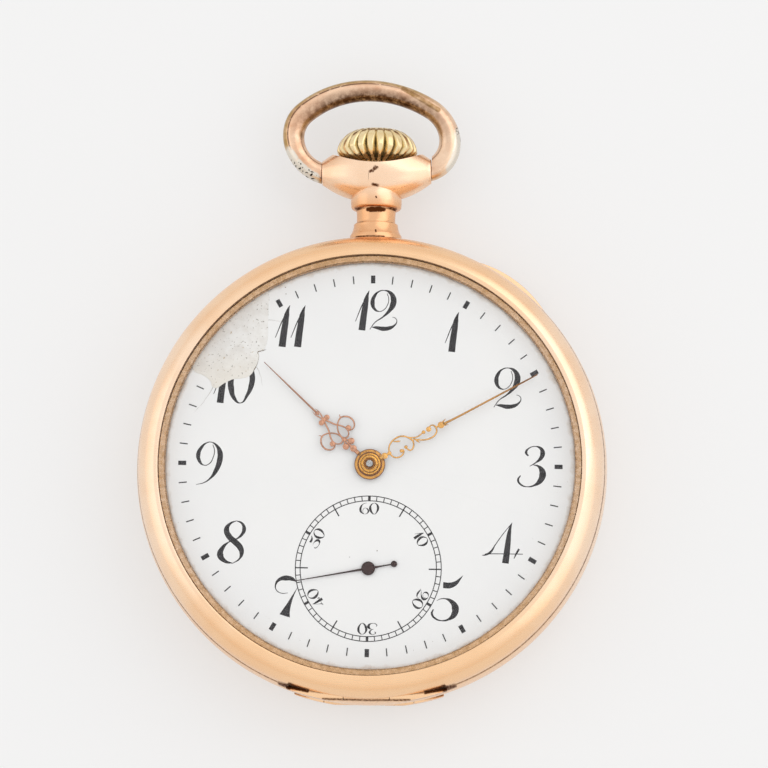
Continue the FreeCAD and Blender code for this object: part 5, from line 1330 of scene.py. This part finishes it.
@dataclass
class Pendant:
    """Neck and head on the band, the bow that swings in the head, and the fluted winding crown."""

    height: float = STEM_HEIGHT
    axis: float = 32.7
    head_half: float = 5.92
    head_tilt: float = 1.4
    saddle_base: float = 32.28
    bow_wire: float = 1.16
    bow_start: float = 5.98
    bow_half: float = 8.52
    bow_widest: float = 36.3
    bow_top: float = 41.7
    bow_shoulder: float = 3.9
    bow_cant: float = 2.4
    bow_lean: float = 0.13
    ribs: int = 24
    crown_base: float = 33.5
    rib_start: float = 1.9
    rib_depth: float = 0.22
    waist_depth: float = 0.75
    waist_height: float = 2.6

    def build(self) -> None:
        """Make the three pieces above twelve o'clock."""
        self.pendant()
        self.bow()
        self.crown()

    def lifted(self, mesh: bmesh.types.BMesh) -> bmesh.types.BMesh:
        """Raise a mesh to the height of the stem."""
        return placed(mesh, z=self.height)

    def pendant(self) -> None:
        """Foot, flared neck, rounded collar and a spindle head hollowed for the crown."""
        neck = Section(0.0, 23.4).line(2.78, 23.4).line(2.8, 25.5).arc(2.38, 26.74, 2.4, Side.RIGHT, 10)
        neck.arc(2.3, 26.8, 0.09, Side.LEFT, 3).lines((2.16, 26.82), (2.1, 26.92))
        neck.arc(2.16, 28.44, 7.0, Side.RIGHT, 10).line(2.46, 28.46).arc(2.72, 28.82, 0.34, Side.LEFT, 7)
        neck.arc(2.3, 31.0, 3.2, Side.LEFT, 14).line(0.0, self.axis - 0.3)
        body = neck.turned(Spindle.STEM, 192)
        half, end, middle = self.head_half, 1.36, 3.4
        bend = (half ** 2 + (middle - end) ** 2) / (2 * (middle - end))
        head = Section(0.0, -half).line(end - 0.12, -half).arc(end, -half + 0.12, 0.12, Side.LEFT, 3)
        head.arc(end, half - 0.12, bend, Side.LEFT, 40).arc(end - 0.12, half, 0.12, Side.LEFT, 3).line(0.0, half)
        spindle = head.turned(Spindle.UPRIGHT, 160)
        bmesh.ops.rotate(spindle, verts=spindle.verts, cent=(0, 0, 0), matrix=Matrix.Rotation(math.pi / 2, 3, "Y"))
        body = carved(body, placed(spindle, y=self.axis - 0.1, turn=self.head_tilt), "UNION")
        curve, reach = 6.7, 5.2
        rise = curve - math.sqrt(curve ** 2 - reach ** 2)
        saddle = Section(0.0, self.saddle_base).arc(reach, self.saddle_base + rise, curve, Side.LEFT, 18)
        saddle.line(reach, self.axis + 4.0).line(0.0, self.axis + 4.0)
        body = carved(body, saddle.turned(Spindle.STEM, 192))
        body = carved(body, rod(STEM_BORE, (0, 22.4, 0), (0, 36.0, 0)))
        for way in (-1, 1):
            body = carved(body, rod(0.66, (way * (half - 1.3), self.axis, 0), (way * (half + 1.0), self.axis, 0)))
        drum = Section(0.0, -2.9).line(24.97, -2.9).arc(24.97, 2.9, 12.3, Side.LEFT, 26).line(0.0, 2.9)
        body = carved(body, drum.turned())
        soften(body, 0.06, 40.0, 2)
        present(self.lifted(body), "pendant_head", "case", PENDANT_GOLD, ("pendant",), sharp=35.0)

    def swept(self, mesh: bmesh.types.BMesh, ring: list[Any], centre: Point, angle: float,
              steps: int) -> list[Any]:
        """Carry a ring of edges along an arc in the plane of the bow.

        Args:
            mesh: Mesh in millimetres.
            ring: Edges and vertices of the wire's section.
            centre: Middle of the arc.
            angle: Angle in radians, anticlockwise.
            steps: Pieces along the arc.

        Returns:
            The ring at the far end.
        """
        made = bmesh.ops.spin(mesh, geom=ring, cent=(*centre, 0.0), axis=(0.0, 0.0, 1.0), angle=angle, steps=steps,
                              use_merge=False, use_duplicate=False)
        return [part for part in made["geom_last"] if not isinstance(part, bmesh.types.BMFace)]

    def bow(self) -> None:
        """Oval ring of round wire, a little askew, with a small pin in each end."""
        foot, side = Vector((self.bow_start, self.axis + 0.03)), Vector((self.bow_half, self.bow_widest))
        reach, drop = side.x - foot.x, side.y - foot.y
        lower = (reach ** 2 + drop ** 2) / (2 * reach)
        span, rise = self.bow_half - self.bow_shoulder, self.bow_top - self.bow_widest
        upper = (span ** 2 + rise ** 2 - self.bow_shoulder ** 2) / (2 * (rise - self.bow_shoulder))
        turn = math.atan2(span, upper - rise)
        low_centre = (side.x - lower, side.y)
        start = math.atan2(foot.y - low_centre[1], foot.x - low_centre[0]) - 1.5 / lower
        foot = Vector((low_centre[0] + lower * math.cos(start), low_centre[1] + lower * math.sin(start)))
        mesh = bmesh.new()
        made = bmesh.ops.create_circle(mesh, cap_ends=False, segments=40, radius=self.bow_wire)
        bmesh.ops.transform(mesh, verts=made["verts"], matrix=(
            Matrix.Translation((foot.x, foot.y, 0.0)) @ Matrix.Rotation(start, 4, "Z")
            @ Matrix.Rotation(math.pi / 2, 4, "X")))
        ring = mesh.verts[:] + mesh.edges[:]
        first = mesh.edges[:]
        ring = self.swept(mesh, ring, low_centre, -start, 18)
        ring = self.swept(mesh, ring, (side.x - self.bow_shoulder, side.y), math.pi / 2 - turn, 22)
        self.swept(mesh, ring, (0.0, self.bow_top - upper), turn, 22)
        bmesh.ops.holes_fill(mesh, edges=first, sides=0)
        bmesh.ops.mirror(mesh, geom=mesh.verts[:] + mesh.edges[:] + mesh.faces[:], axis="X", merge_dist=0.002,
                         matrix=Matrix.Identity(4))
        bmesh.ops.remove_doubles(mesh, verts=mesh.verts, dist=0.002)
        inner = [face for face in mesh.faces if all(abs(vert.co.x) < 0.003 for vert in face.verts)]
        bmesh.ops.delete(mesh, geom=inner, context="FACES_ONLY")
        bmesh.ops.recalc_face_normals(mesh, faces=mesh.faces)
        lean = Matrix.Identity(4)
        lean[0][1] = -self.bow_lean
        move = Matrix.Translation((0.0, self.axis, 0.0)) @ lean @ Matrix.Rotation(math.radians(self.bow_cant), 4, "Z")
        bmesh.ops.transform(mesh, verts=mesh.verts, matrix=move @ Matrix.Translation((0.0, -self.axis, 0.0)))
        reach = self.bow_start
        mesh = carved(mesh, block((-reach, self.axis - 4, -4), (reach, self.axis + 4, 4)))
        for way in (-1, 1):
            pin = rod(0.6, (way * (reach + 0.3), self.axis, 0.0), (way * (reach - 1.15), self.axis, 0.0), 32)
            mesh = carved(mesh, pin, "UNION")
        soften(mesh, 0.09, 50.0, 3)
        present(self.lifted(mesh), "bow_ring_wire", "bow_ring", BOW_METAL, ("bow",), sharp=40.0)

    def crown(self) -> None:
        """Onion button whose rounded ribs run from the waist to the cap and end in points."""
        section = Section(0.0, self.crown_base).line(2.5, self.crown_base).arc(2.75, 33.6, 0.3, Side.LEFT, 3)
        section.arc(4.37, 34.85, 2.5, Side.LEFT, 16).arc(2.6, 37.06, 2.6, Side.LEFT, 22)
        section.arc(0.0, 37.2, 24.0, Side.LEFT, 8)
        mesh = section.turned(Spindle.UPRIGHT, self.ribs * 16)
        for vert in mesh.verts:
            radius = math.hypot(vert.co.x, vert.co.y)
            if radius < self.rib_start:
                continue
            lobe = abs(math.sin(math.atan2(vert.co.y, vert.co.x) * self.ribs / 2))
            low = max(0.0, 1.0 - (vert.co.z - self.crown_base) / self.waist_height)
            depth = (self.rib_depth + self.waist_depth * low) * min(1.0, max(0.0, radius - self.rib_start))
            groove = depth * max(0.0, 1.0 - lobe / (0.6 + 0.4 * low)) ** (1.4 - 0.8 * low)
            vert.co.x *= (radius - groove) / radius
            vert.co.y *= (radius - groove) / radius
        bmesh.ops.rotate(mesh, verts=mesh.verts, cent=(0, 0, 0), matrix=Matrix.Rotation(-math.pi / 2, 3, "X"))
        mesh = carved(mesh, rod(0.55, (0, 32.0, 0), (0, 35.9, 0), 32))
        present(self.lifted(mesh), "winding_crown", "crown_and_stem", CROWN_GOLD, ("crown",), sharp=50.0)


# ---------------------------------------------------------------- the dial

GLYPHS: dict[str, tuple[Stroke, ...]] = {
    "1": (Stroke(((34.5, 99, .4), (30.7, 89.6, 2.9), (27.4, 76, 6), (24.7, 56.7, 7.1), (22, 37.5, 7.7),
                  (18, .8, 8.3))),
          Stroke(((32.9, 95, .6), (23.3, 74.5, 1.4), (15, 56.7, 1.3), (7.7, 37.5, 1), (2, 22.5, .8)))),
    "2": (Stroke(((42, 92, .8), (46, 79, .9), (43.5, 64, .9), (35, 52, .9), (24.5, 47.5, .9), (13.6, 51.6, 2.8),
                  (6.8, 68, 5.4), (11.4, 85.6, 3.8), (21.7, 96.5, 1.6), (35.3, 99.5, .9), (49.5, 93.7, 4),
                  (57.6, 78.8, 7), (56.2, 64, 7.2), (47.6, 49, 4.2), (32.6, 34, 1.8), (13.6, 20.4, 1.1),
                  (1.4, 3.3, .8))),
          Stroke(((6.8, 8.7, 1), (17.7, 7.6, 3.6), (32.6, 4.9, 5.4), (48.9, 6.8, 4.6), (61, 13.6, 2.2),
                  (66.6, 23, 1), (63.9, 30.4, .8), (55.7, 34, .6)))),
    "3": (Stroke(((27, 75.7, 1.6), (21.6, 84.4, 3.2), (28.6, 94.6, 1.4), (44, 99.2, .9), (57.4, 93.8, 3.8),
                  (61.5, 83, 6), (57.4, 70.9, 4.6), (45.3, 60, 1.6), (30.5, 50.7, .7))),
          Stroke(((39.4, 54.2, .8), (50.7, 51.5, 2.4), (60, 41.2, 6.8), (62, 30.5, 8.4), (56, 15.6, 6.4),
                  (42.6, 4.9, 2.4), (25, 1.1, 1), (9.7, 6.2, 2.2), (3, 17.5, 2.5), (8.9, 28.3, 1.2)))),
    "4": (Stroke(((71.3, 99, .3), (68, 89.9, 2.4), (64.6, 74, 4.8), (62.2, 52.7, 6.4), (59.3, 26, 7.4),
                  (56.1, .5, 8))),
          Stroke(((70, 96.5, .8), (50, 71.3, .9), (31.4, 44.7, 1.1), (20, 27, 2.8), (8.5, 20.5, 2.2), (0, 19, .5))),
          Stroke(((8, 22.5, 1.2), (34, 23.2, 1), (97.8, 22.9, .9))),
          Stroke(((88.5, 35.4, 2.6), (82, 23.4, 2.2), (76.6, 12.2, .8)))),
    "5": (Stroke(((26, 78.5, 6.6), (40.7, 78, 6.4), (53, 83, 4.6), (62.7, 92.7, 2), (68.5, 99.5, .3))),
          Stroke(((12.7, 44.4, .5), (20, 48, .8), (31, 48.8, 1.2), (44.4, 42.7, 4.4), (53, 29.3, 7.8),
                  (50.5, 14.6, 6.4), (38.3, 3.7, 2.4), (23.7, .9, 1.2), (9, 6, 2), (2.2, 15.9, 2.4),
                  (5.4, 25.6, 1.2)))),
    "6": (Stroke(((25, 6.4, .8), (21, 19.1, 1), (23.5, 35.7, 1), (32.4, 51, 1), (45.1, 54.3, 1), (55.3, 44.6, 3.6),
                  (58.4, 29.3, 5.1), (50.2, 11.5, 3.3), (40, 2.6, 1.3), (28.6, .5, .8), (15.8, 9, 3),
                  (8.2, 24.2, 6.1), (8.2, 42.1, 6.6), (17, 67.6, 5.1), (29.8, 85.5, 2), (45.1, 95.7, 1),
                  (61.7, 99.5, .5))),),
    "7": (Stroke(((32, 56.5, .6), (16, 56, .9), (4, 64, 1), (2.4, 76, 1.8), (11, 88.5, 3.8), (27, 92.5, 6.4),
                  (43, 90, 4.6), (52, 84, .8))),
          Stroke(((55.5, 70.4, .3), (48.5, 57.3, 1.3), (41.3, 42.7, 2.9), (35.2, 28, 5.3), (29.3, 13.3, 9),
                  (25.6, 1.3, 13)))),
    "8": (Stroke(((44, 99.5, .8), (30, 93, 2.6), (21.6, 79, 6.2), (27.5, 63.5, 6.7), (41.6, 50.6, 6.9),
                  (54, 37.8, 6.7), (57.6, 26.2, 5.2), (53.2, 12, 2), (37.8, 1, .8))),
          Stroke(((37.8, 1, .8), (19.8, 5.7, 4.1), (8.2, 19.8, 7.7), (13.4, 36.5, 4.6), (27.5, 50, 1.3),
                  (44.2, 57, 1.3), (57, 67.4, 3.3), (62.2, 80.2, 4.6), (57, 93.8, 2.6), (44, 99.5, .8)))),
    "9": (Stroke(((38, 93.6, .8), (42, 80.9, 1), (39.5, 64.3, 1), (30.6, 49, 1), (17.9, 45.7, 1), (7.7, 55.4, 3.6),
                  (4.6, 70.7, 5.1), (12.8, 88.5, 3.3), (23, 97.4, 1.3), (34.4, 99.5, .8), (47.2, 91, 3),
                  (54.8, 75.8, 6.1), (54.8, 57.9, 6.6), (46, 32.4, 5.1), (33.2, 14.5, 2), (17.9, 4.3, 1),
                  (1.3, .5, .5))),),
    "0": (Stroke(((36.7, 99, 1), (53, 88.3, 3.8), (59, 66.6, 6.8), (57, 44.8, 6.5), (47.6, 20.4, 3.8),
                  (31.3, .8, 1), (16.3, 12.2, 4.4), (8.2, 36.7, 7.3), (7.3, 55.7, 7), (15, 80.2, 3.8)), True),),
}
SLOPES = {"1": 0.168, "2": 0.08, "3": 0.16, "4": 0.155, "5": 0.14, "6": 0.17, "0": 0.09}


@dataclass
class Dial:
    """Enamel disc with flourished numerals, a minute track, a seconds ring and the marks of an old repair."""

    radius: float = 22.0
    low: float = 8.3
    top: float = 9.1
    seconds_place: float = -11.05
    pair_pitch: float = 36.0
    ink: float = 0.03
    track_radius: float = 20.0
    track_length: float = 0.85
    ring_radii: Point = (7.72, 7.21)
    hairline: float = 0.09
    small_height: float = 1.2
    small_width: float = 87.0
    small_radius: float = 6.38
    numerals: tuple[tuple[str, float, float, float], ...] = (
        ("12", 0.046, 16.65, 4.4), ("1", 1.02, 16.7, 4.4), ("2", 2, 16.75, 4.4), ("3", 3, 17.15, 4.4),
        ("4", 4, 16.35, 4.4), ("5", 4.98, 16.4, 4.85), ("7", 7.05, 16.55, 4.4), ("8", 8, 16.8, 4.6),
        ("9", 9, 17.1, 4.6), ("10", 10.02, 17.0, 4.4), ("11", 10.98, 17.25, 4.6))
    chip: tuple[Point, ...] = (
        (-11.35, 18.6), (-11.2, 17.2), (-11.2, 15.2), (-11.3, 12.9), (-11.6, 12.3), (-12.2, 12.0), (-12.1, 11.6),
        (-12.2, 10.9), (-12.5, 10.2), (-13.0, 9.5), (-13.8, 9.2), (-14.7, 9.1), (-15.6, 8.7), (-16.8, 8.15),
        (-17.2, 8.9), (-18.0, 9.5), (-18.9, 9.9))
    chip_rim: float = 21.75
    chip_turns: tuple[float, ...] = (151.5, 146, 142, 138, 134, 130, 126, 122.5)
    edge_widths: tuple[float, ...] = (.01, .02, .03, .05, .04, .04, .05, .03, .02, .02, .03, .02)
    rim_specks: int = 46
    loose_specks: int = 34

    def build(self) -> None:
        """Make the disc, then everything that is on it."""
        self.disc()
        self.hour_ring()
        self.tracks()
        self.repair()

    def disc(self) -> None:
        """Enamel disc with a rounded edge and two holes."""
        section = Section(0.0, self.low).line(self.radius - 0.05, self.low).line(self.radius, self.low + 0.05)
        section.line(self.radius, 8.75)
        section.arc(21.6, self.top, 0.42, Side.LEFT, 8).line(21.4, self.top).line(0.0, self.top)
        body = section.turned(steps=240)
        for y, radius in ((0.0, 1.2), (self.seconds_place, 0.55)):
            body = carved(body, rod(radius, (0, y, 8.0), (0, y, 9.4), 64))
        soften(body, 0.06, 50.0, 2)
        present(body, "enamel_disc", "case", DIAL_ENAMEL, ("dial",), sharp=16.0)

    def figure(self, text: str, size: float, wide: float = 0.0) -> bmesh.types.BMesh:
        """Number drawn with a broad pen, its middle at the origin.

        Args:
            text: Digits of the number.
            size: Height of a digit in millimetres.
            wide: Width of an upright digit in hundredths of its height, or zero for the sloping hour numerals.

        Returns:
            Flat mesh in millimetres.
        """
        strokes, start = [], 0.0
        for digit in text:
            slope = SLOPES[digit] if wide else 0.0
            drawn = [Stroke(tuple((x - slope * y, y, half) for x, y, half in stroke.places), stroke.closed)
                     for stroke in GLYPHS[digit]]
            stretch, pitch, bolder = 1.0, self.pair_pitch, 1.0
            if wide:
                ends = [x + side * half for stroke in drawn for x, _, half in stroke.places for side in (-1, 1)]
                room = wide * (0.55 if digit == "1" else 1.0)
                stretch, pitch, bolder = room / (max(ends) - min(ends)), room - 1.0, 1.5
                start -= min(ends) * stretch
            for stroke in drawn:
                strokes.append(Stroke(tuple((x * stretch + start, y, half * bolder) for x, y, half in stroke.places),
                                      stroke.closed))
            start += pitch + (min(ends) * stretch if wide else 0.0)
        mesh = penned(strokes, size / 100, self.ink)
        across = [vert.co.x for vert in mesh.verts]
        up = [vert.co.y for vert in mesh.verts]
        return placed(mesh, -(min(across) + max(across)) / 2, -(min(up) + max(up)) / 2)

    def hour_ring(self) -> None:
        """Eleven hour numerals, standing upright; the seconds ring takes the place of the twelfth."""
        drawn = []
        for text, hour, radius, size in self.numerals:
            turn = hour / 12 * TURN
            drawn.append(placed(self.figure(text, size), radius * math.sin(turn), radius * math.cos(turn), self.top))
        present(joined(*drawn), "hour_numerals", "case", DIAL_INK, sharp=60.0)

    def bar(self, radius: float, turn: float, width: float, length: float) -> bmesh.types.BMesh:
        """Short bar of ink that points at the middle of a ring.

        Args:
            radius: Distance of its middle from the middle of the ring.
            turn: Angle from twelve o'clock, in degrees.
            width: Width in millimetres.
            length: Length in millimetres.

        Returns:
            Flat mesh in millimetres.
        """
        half = self.ink / 2
        mesh = block((-width / 2, radius - length / 2, -half), (width / 2, radius + length / 2, half))
        return placed(mesh, turn=turn)

    def line_ring(self, radius: float, width: float) -> bmesh.types.BMesh:
        """Thin circle of ink."""
        inner, outer, half = radius - width / 2, radius + width / 2, self.ink / 2
        return Section(inner, -half).lines((outer, -half), (outer, half), (inner, half)).close().turned(steps=160)

    def tracks(self) -> None:
        """Minute marks round the edge, and the seconds ring with its own small numerals."""
        marks = [self.bar(self.track_radius, 6.0 * mark, 0.12 if mark % 5 else 0.46, self.track_length)
                 for mark in range(60)]
        present(placed(joined(*marks), z=self.top), "minute_marks", "case", DIAL_INK, sharp=40.0)
        ring = [self.line_ring(radius, self.hairline) for radius in self.ring_radii]
        for mark in range(60):
            bold, long = mark % 10 == 0, mark % 10 == 5
            wide = 0.27 if bold else 0.13 if long else self.hairline
            ring.append(self.bar(7.06 if long else 7.465, 6.0 * mark, wide, 1.32 if long else 0.51))
        for place, text in enumerate(("60", "10", "20", "30", "40", "50")):
            mesh = self.figure(text, self.small_height, wide=self.small_width)
            ring.append(placed(placed(mesh, y=self.small_radius), turn=-60.0 * place))
        present(placed(joined(*ring), y=self.seconds_place, z=self.top), "seconds_ring", "case", DIAL_INK,
                sharp=40.0)

    def repair(self) -> None:
        """Chip beside ten o'clock, filled long ago, with its dark broken edge, loose specks and hairline cracks."""
        curve = bpy.data.curves.new("patch", "CURVE")
        curve.dimensions, curve.fill_mode = "2D", "BOTH"
        curve.extrude, curve.bevel_depth, curve.bevel_resolution = 0.02, 0.03, 1
        rim = [(self.chip_rim * math.cos(math.radians(turn)), self.chip_rim * math.sin(math.radians(turn)))
               for turn in self.chip_turns]
        trace(curve, [(x, y, 1.0) for x, y in (*self.chip, *rim)], True)
        mesh = cast(curve, 0.001)
        bmesh.ops.recalc_face_normals(mesh, faces=mesh.faces)
        present(placed(mesh, z=self.top), "repair_patch", "case", DIAL_FILLER, sharp=50.0)
        self.cracks()

    def cracks(self) -> None:
        """Dark line round the patch, hairline cracks and specks of dirt, drawn with a fine pen."""
        rng = random.Random(7)
        edge = [Stroke(tuple((x, y, width) for (x, y), width in zip(self.chip[2:], self.edge_widths)))]
        edge.append(Stroke(((-16.8, 8.15, .02), (-17.1, 8.8, .03), (-17.3, 9.6, .01))))
        edge.append(Stroke(((-12.2, 12.0, .01), (-11.6, 12.2, .035), (-11.3, 12.3, .01))))
        for start, way, length in (((-16.9, 8.2), 248, 3.4), ((-12.3, 10.4), 305, 2.2), ((-11.2, 15.5), 12, 1.6)):
            turn, places = math.radians(way), [(*start, .015)]
            for step in range(1, 6):
                turn += rng.uniform(-0.22, 0.22)
                x, y, _ = places[-1]
                places.append((x + length / 5 * math.cos(turn), y + length / 5 * math.sin(turn), .013 - .002 * step))
            edge.append(Stroke(tuple(places)))
        mesh = penned(edge, 1.0, 0.11, 1, 5)
        specks = []
        spots = [(0.9, 1.9 + self.seconds_place, .07), (-2.0, 1.2 + self.seconds_place, .05)]
        for _ in range(self.rim_specks):
            turn = math.radians(rng.gauss(134, 9))
            radius = 21.45 - abs(rng.gauss(0, 0.35))
            spots.append((radius * math.cos(turn), radius * math.sin(turn), rng.uniform(.02, .07)))
        for _ in range(self.loose_specks):
            turn, radius = rng.uniform(0, TURN), 21.4 - abs(rng.gauss(0, 1.3))
            spots.append((radius * math.cos(turn), radius * math.sin(turn), rng.uniform(.012, .03)))
        for x, y, size in spots:
            speck = bmesh.new()
            bmesh.ops.create_icosphere(speck, subdivisions=1, radius=size)
            for vert in speck.verts:
                vert.co *= rng.uniform(0.6, 1.25)
                vert.co.z *= 0.35
            specks.append(placed(speck, x, y))
        present(placed(joined(mesh, *specks), z=self.top + 0.01), "cracks_and_specks", "case", OLD_DIRT,
                sharp=60.0)


# ---------------------------------------------------------------- the hands

def bead(x: float, y: float, radius: float, thickness: float) -> bmesh.types.BMesh:
    """Small round button with a domed top, standing on the plane of a hand.

    Args:
        x: Place of its middle.
        y: Place of its middle.
        radius: Radius in millimetres.
        thickness: Thickness of the hand that it sits on.

    Returns:
        Mesh in millimetres.
    """
    half = thickness / 2
    section = Section(0.0, -half).line(radius * 0.8, -half).arc(radius, 0.0, radius * 0.6 + half, Side.LEFT, 3)
    section.arc(0.0, half * 1.25, radius * 1.4, Side.LEFT, 5)
    return placed(section.turned(steps=24), x, y)


@dataclass
class Hand:
    """Hand of the scrolled kind, drawn in its own line: along from the arbor, and aside to its left."""

    name: str
    body: str
    node: str
    finish: Finish
    turn: float
    level: float
    scrolls: tuple[tuple[Place, ...], ...]
    beads: tuple[Place, ...]
    hub: tuple[Point, ...]
    mirrored: bool = False
    thickness: float = 0.16
    bore: float = 0.0
    weight: float = 0.72
    aside: float = 0.0

    def build(self) -> bpy.types.Object:
        """Draw the scrolls, set the beads and turn the hub, all at the hand's level and angle.

        Returns:
            The hand.
        """
        sides = (1, -1) if self.mirrored else (1,)
        strokes = [Stroke(tuple((-aside * side, along, half * self.weight) for along, aside, half in scroll))
                   for scroll in self.scrolls for side in (sides if any(abs(place[1]) > 0.01 for place in scroll)
                                                           else (1,))]
        parts = [penned(strokes, 1.0, self.thickness, 2, 6)]
        for along, aside, radius in self.beads:
            for side in sides if abs(aside) > 0.01 else (1,):
                parts.append(bead(-aside * side, along, radius, self.thickness))
        half = self.thickness / 2
        section = Section(self.bore, -half).line(self.hub[0][0], -half)
        for radius, height in self.hub:
            section.line(radius, height - half)
        if self.bore:
            section.line(self.bore, self.hub[-1][1] - half).close()
        else:
            section.line(0.0, self.hub[-1][1] - half)
        hub = section.turned(steps=96)
        soften(hub, 0.025, 30.0, 2)
        parts.append(hub)
        whole = placed(joined(*parts), y=self.aside, z=self.level + half, turn=self.turn)
        return present(whole, self.name, self.body, self.finish, (self.node,), sharp=45.0)


HOUR_HAND = Hand(
    "hour_hand_scrolled", "hour", "hour_hand", ROSE_HAND, 46.5, 9.5,
    scrolls=(
        ((7.6, 0, .16), (8.6, 0, .15), (11.5, 0, .125), (15.8, 0, .05)),
        ((1.4, 0, .3), (2.0, 0, .3), (2.6, 0, .2), (3.2, 0, .14), (3.8, 0, .12)),
        ((6.9, 0, .08), (7.3, .12, .1), (7.9, .26, .07), (8.35, .2, .02)),
        ((6.75, .02, .1), (6.5, .16, .13), (5.7, .45, .13), (4.96, .87, .12), (4.3, 1.07, .1)),
        ((4.3, 1.0, .1), (4.08, 1.12, .1), (3.98, 1.6, .11), (4.3, 2.0, .13), (4.9, 2.12, .14), (5.45, 1.85, .13),
         (5.72, 1.4, .12), (5.62, .95, .11), (5.2, .4, .11), (4.6, .07, .11), (3.97, .1, .11), (3.77, .45, .11),
         (3.95, .82, .1), (4.3, .98, .09)),
        ((5.6, 1.5, .1), (5.85, 1.45, .08), (6.05, 1.58, .03)),
        ((3.8, .05, .12), (3.5, .25, .13), (3.15, .4, .2)),
    ),
    beads=((6.8, .4, .3), (6.85, 0, .26), (4.37, 1.2, .3), (3.15, .42, .34), (2.44, 0, .36), (3.8, 0, .22),
           (7.9, 0, .2)),
    hub=((1.63, .0), (1.63, .12), (1.5, .16), (1.34, .16), (1.3, .2), (1.1, .2)), mirrored=True, bore=0.95)
MINUTE_HAND = Hand(
    "minute_hand_scrolled", "minute", "minute_hand", YELLOW_HAND, -61.1, 9.85,
    scrolls=(
        ((8.9, .06, .2), (9.8, .02, .16), (13.5, 0, .145), (18.5, 0, .125), (20.2, 0, .08)),
        ((1.1, 0, .3), (1.7, 0, .26), (2.38, 0, .16)),
        ((2.38, 0, .12), (2.6, .53, .12), (3.07, .93, .12), (3.74, 1.1, .13), (4.45, .96, .13), (4.97, .45, .12),
         (5.2, -.07, .09)),
        ((2.38, 0, .12), (2.6, -.58, .12), (3.1, -.85, .12), (3.63, -.73, .12), (3.84, -.45, .11), (3.64, -.22, .09)),
        ((4.23, -.21, .1), (4.3, -.57, .11), (4.58, -.78, .12), (4.94, -.58, .12), (5.16, -.18, .12),
         (5.12, .24, .11), (4.92, .6, .09)),
        ((3.3, .95, .06), (3.55, .8, .11), (3.8, .68, .14), (4.05, .6, .04)),
        ((5.1, 0, .1), (5.42, .08, .12), (5.62, -.29, .14), (5.75, -.5, .03)),
        ((5.0, .5, .1), (5.35, .3, .1), (5.74, .17, .1), (6.1, .17, .1), (6.43, .26, .1)),
        ((5.42, .08, .1), (5.8, -.2, .11), (6.2, -.44, .12), (6.88, -.63, .13), (7.58, -.54, .13), (7.97, -.16, .12),
         (7.93, .38, .12), (7.63, .54, .1), (7.3, .4, .08)),
        ((7.9, .1, .12), (8.3, .1, .14), (8.62, .08, .2), (9.0, .06, .22)),
        ((8.62, .1, .14), (9.0, .3, .12), (9.35, .44, .03)),
        ((8.62, .06, .14), (9.0, -.12, .12), (9.33, -.24, .03)),
        ((8.6, .1, .12), (8.5, .25, .1), (8.4, .36, .03)),
    ),
    beads=((3.62, -.38, .2), (4.23, -.24, .19), (6.62, .28, .2), (7.25, .3, .28), (8.62, .08, .36), (1.8, 0, .34),
           (2.38, 0, .22)),
    hub=((1.21, .0), (1.21, .16), (1.1, .22), (.95, .22), (.9, .3), (.7, .36)), bore=0.37)
SECONDS_HAND = Hand(
    "seconds_hand_fine", "fourth", "seconds_hand", BLUED_HAND, 100.4, 9.22,
    scrolls=(((-2.7, 0, .07), (-1.4, 0, .08), (-.6, 0, .14), (0, 0, .14), (2.5, 0, .085), (7.9, 0, .04)),),
    beads=((-2.77, 0, .34),), hub=((.73, .0), (.73, .14), (.66, .22), (.34, .28)), weight=1.0, aside=-11.05)


# ---------------------------------------------------------------- the movement

@dataclass
class Movement:
    """Everything the CAD part shaped right already: merged, its edges softened, and given its finish."""

    softened: dict[str, float] = field(default_factory=lambda: {
        "main_plate": 0.05, "barrel_bridge": 0.08, "train_bridge": 0.08, "balance_cock": 0.08, "pallet_cock": 0.05})

    def build(self, done: set[str]) -> None:
        """Refine each node that no piece stands for yet.

        Args:
            done: Nodes that are replaced already.
        """
        for node in sorted(set(SLOT_OF) - done):
            self.refine(node, self.softened.get(node, 0.0))

    def refine(self, node: str, width: float) -> None:
        """Show a merged copy of one node, its sharp edges kept crisp or softened.

        Args:
            node: Name of the node.
            width: Width taken from each side of its edges, or zero.
        """
        mesh = bmesh.new()
        mesh.from_mesh(frame["nodes"][node].data)
        bmesh.ops.scale(mesh, verts=mesh.verts, vec=(1 / MM, 1 / MM, 1 / MM))
        bmesh.ops.remove_doubles(mesh, verts=mesh.verts, dist=0.0005)
        bmesh.ops.dissolve_limit(mesh, angle_limit=math.radians(0.5), verts=mesh.verts, edges=mesh.edges)
        if width:
            soften(mesh, width, 35.0, 2)
        present(mesh, node + "_finished", BODY_OF[node], FINISH_OF_SLOT[SLOT_OF[node]], (node,), sharp=30.0)


def main() -> None:
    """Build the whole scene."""
    logging.basicConfig(level=logging.INFO, format="%(name)s %(message)s")
    Studio().build()
    Case().build()
    Glass().build()
    Pendant().build()
    Dial().build()
    for hand in (HOUR_HAND, MINUTE_HAND, SECONDS_HAND):
        hand.build()
    Movement().build({"case_band", "bezel", "back_cover", "dust_cover", "crystal", "pendant", "bow", "crown", "dial",
                      "hour_hand", "minute_hand", "seconds_hand"})


if __name__ == "__main__":
    main()
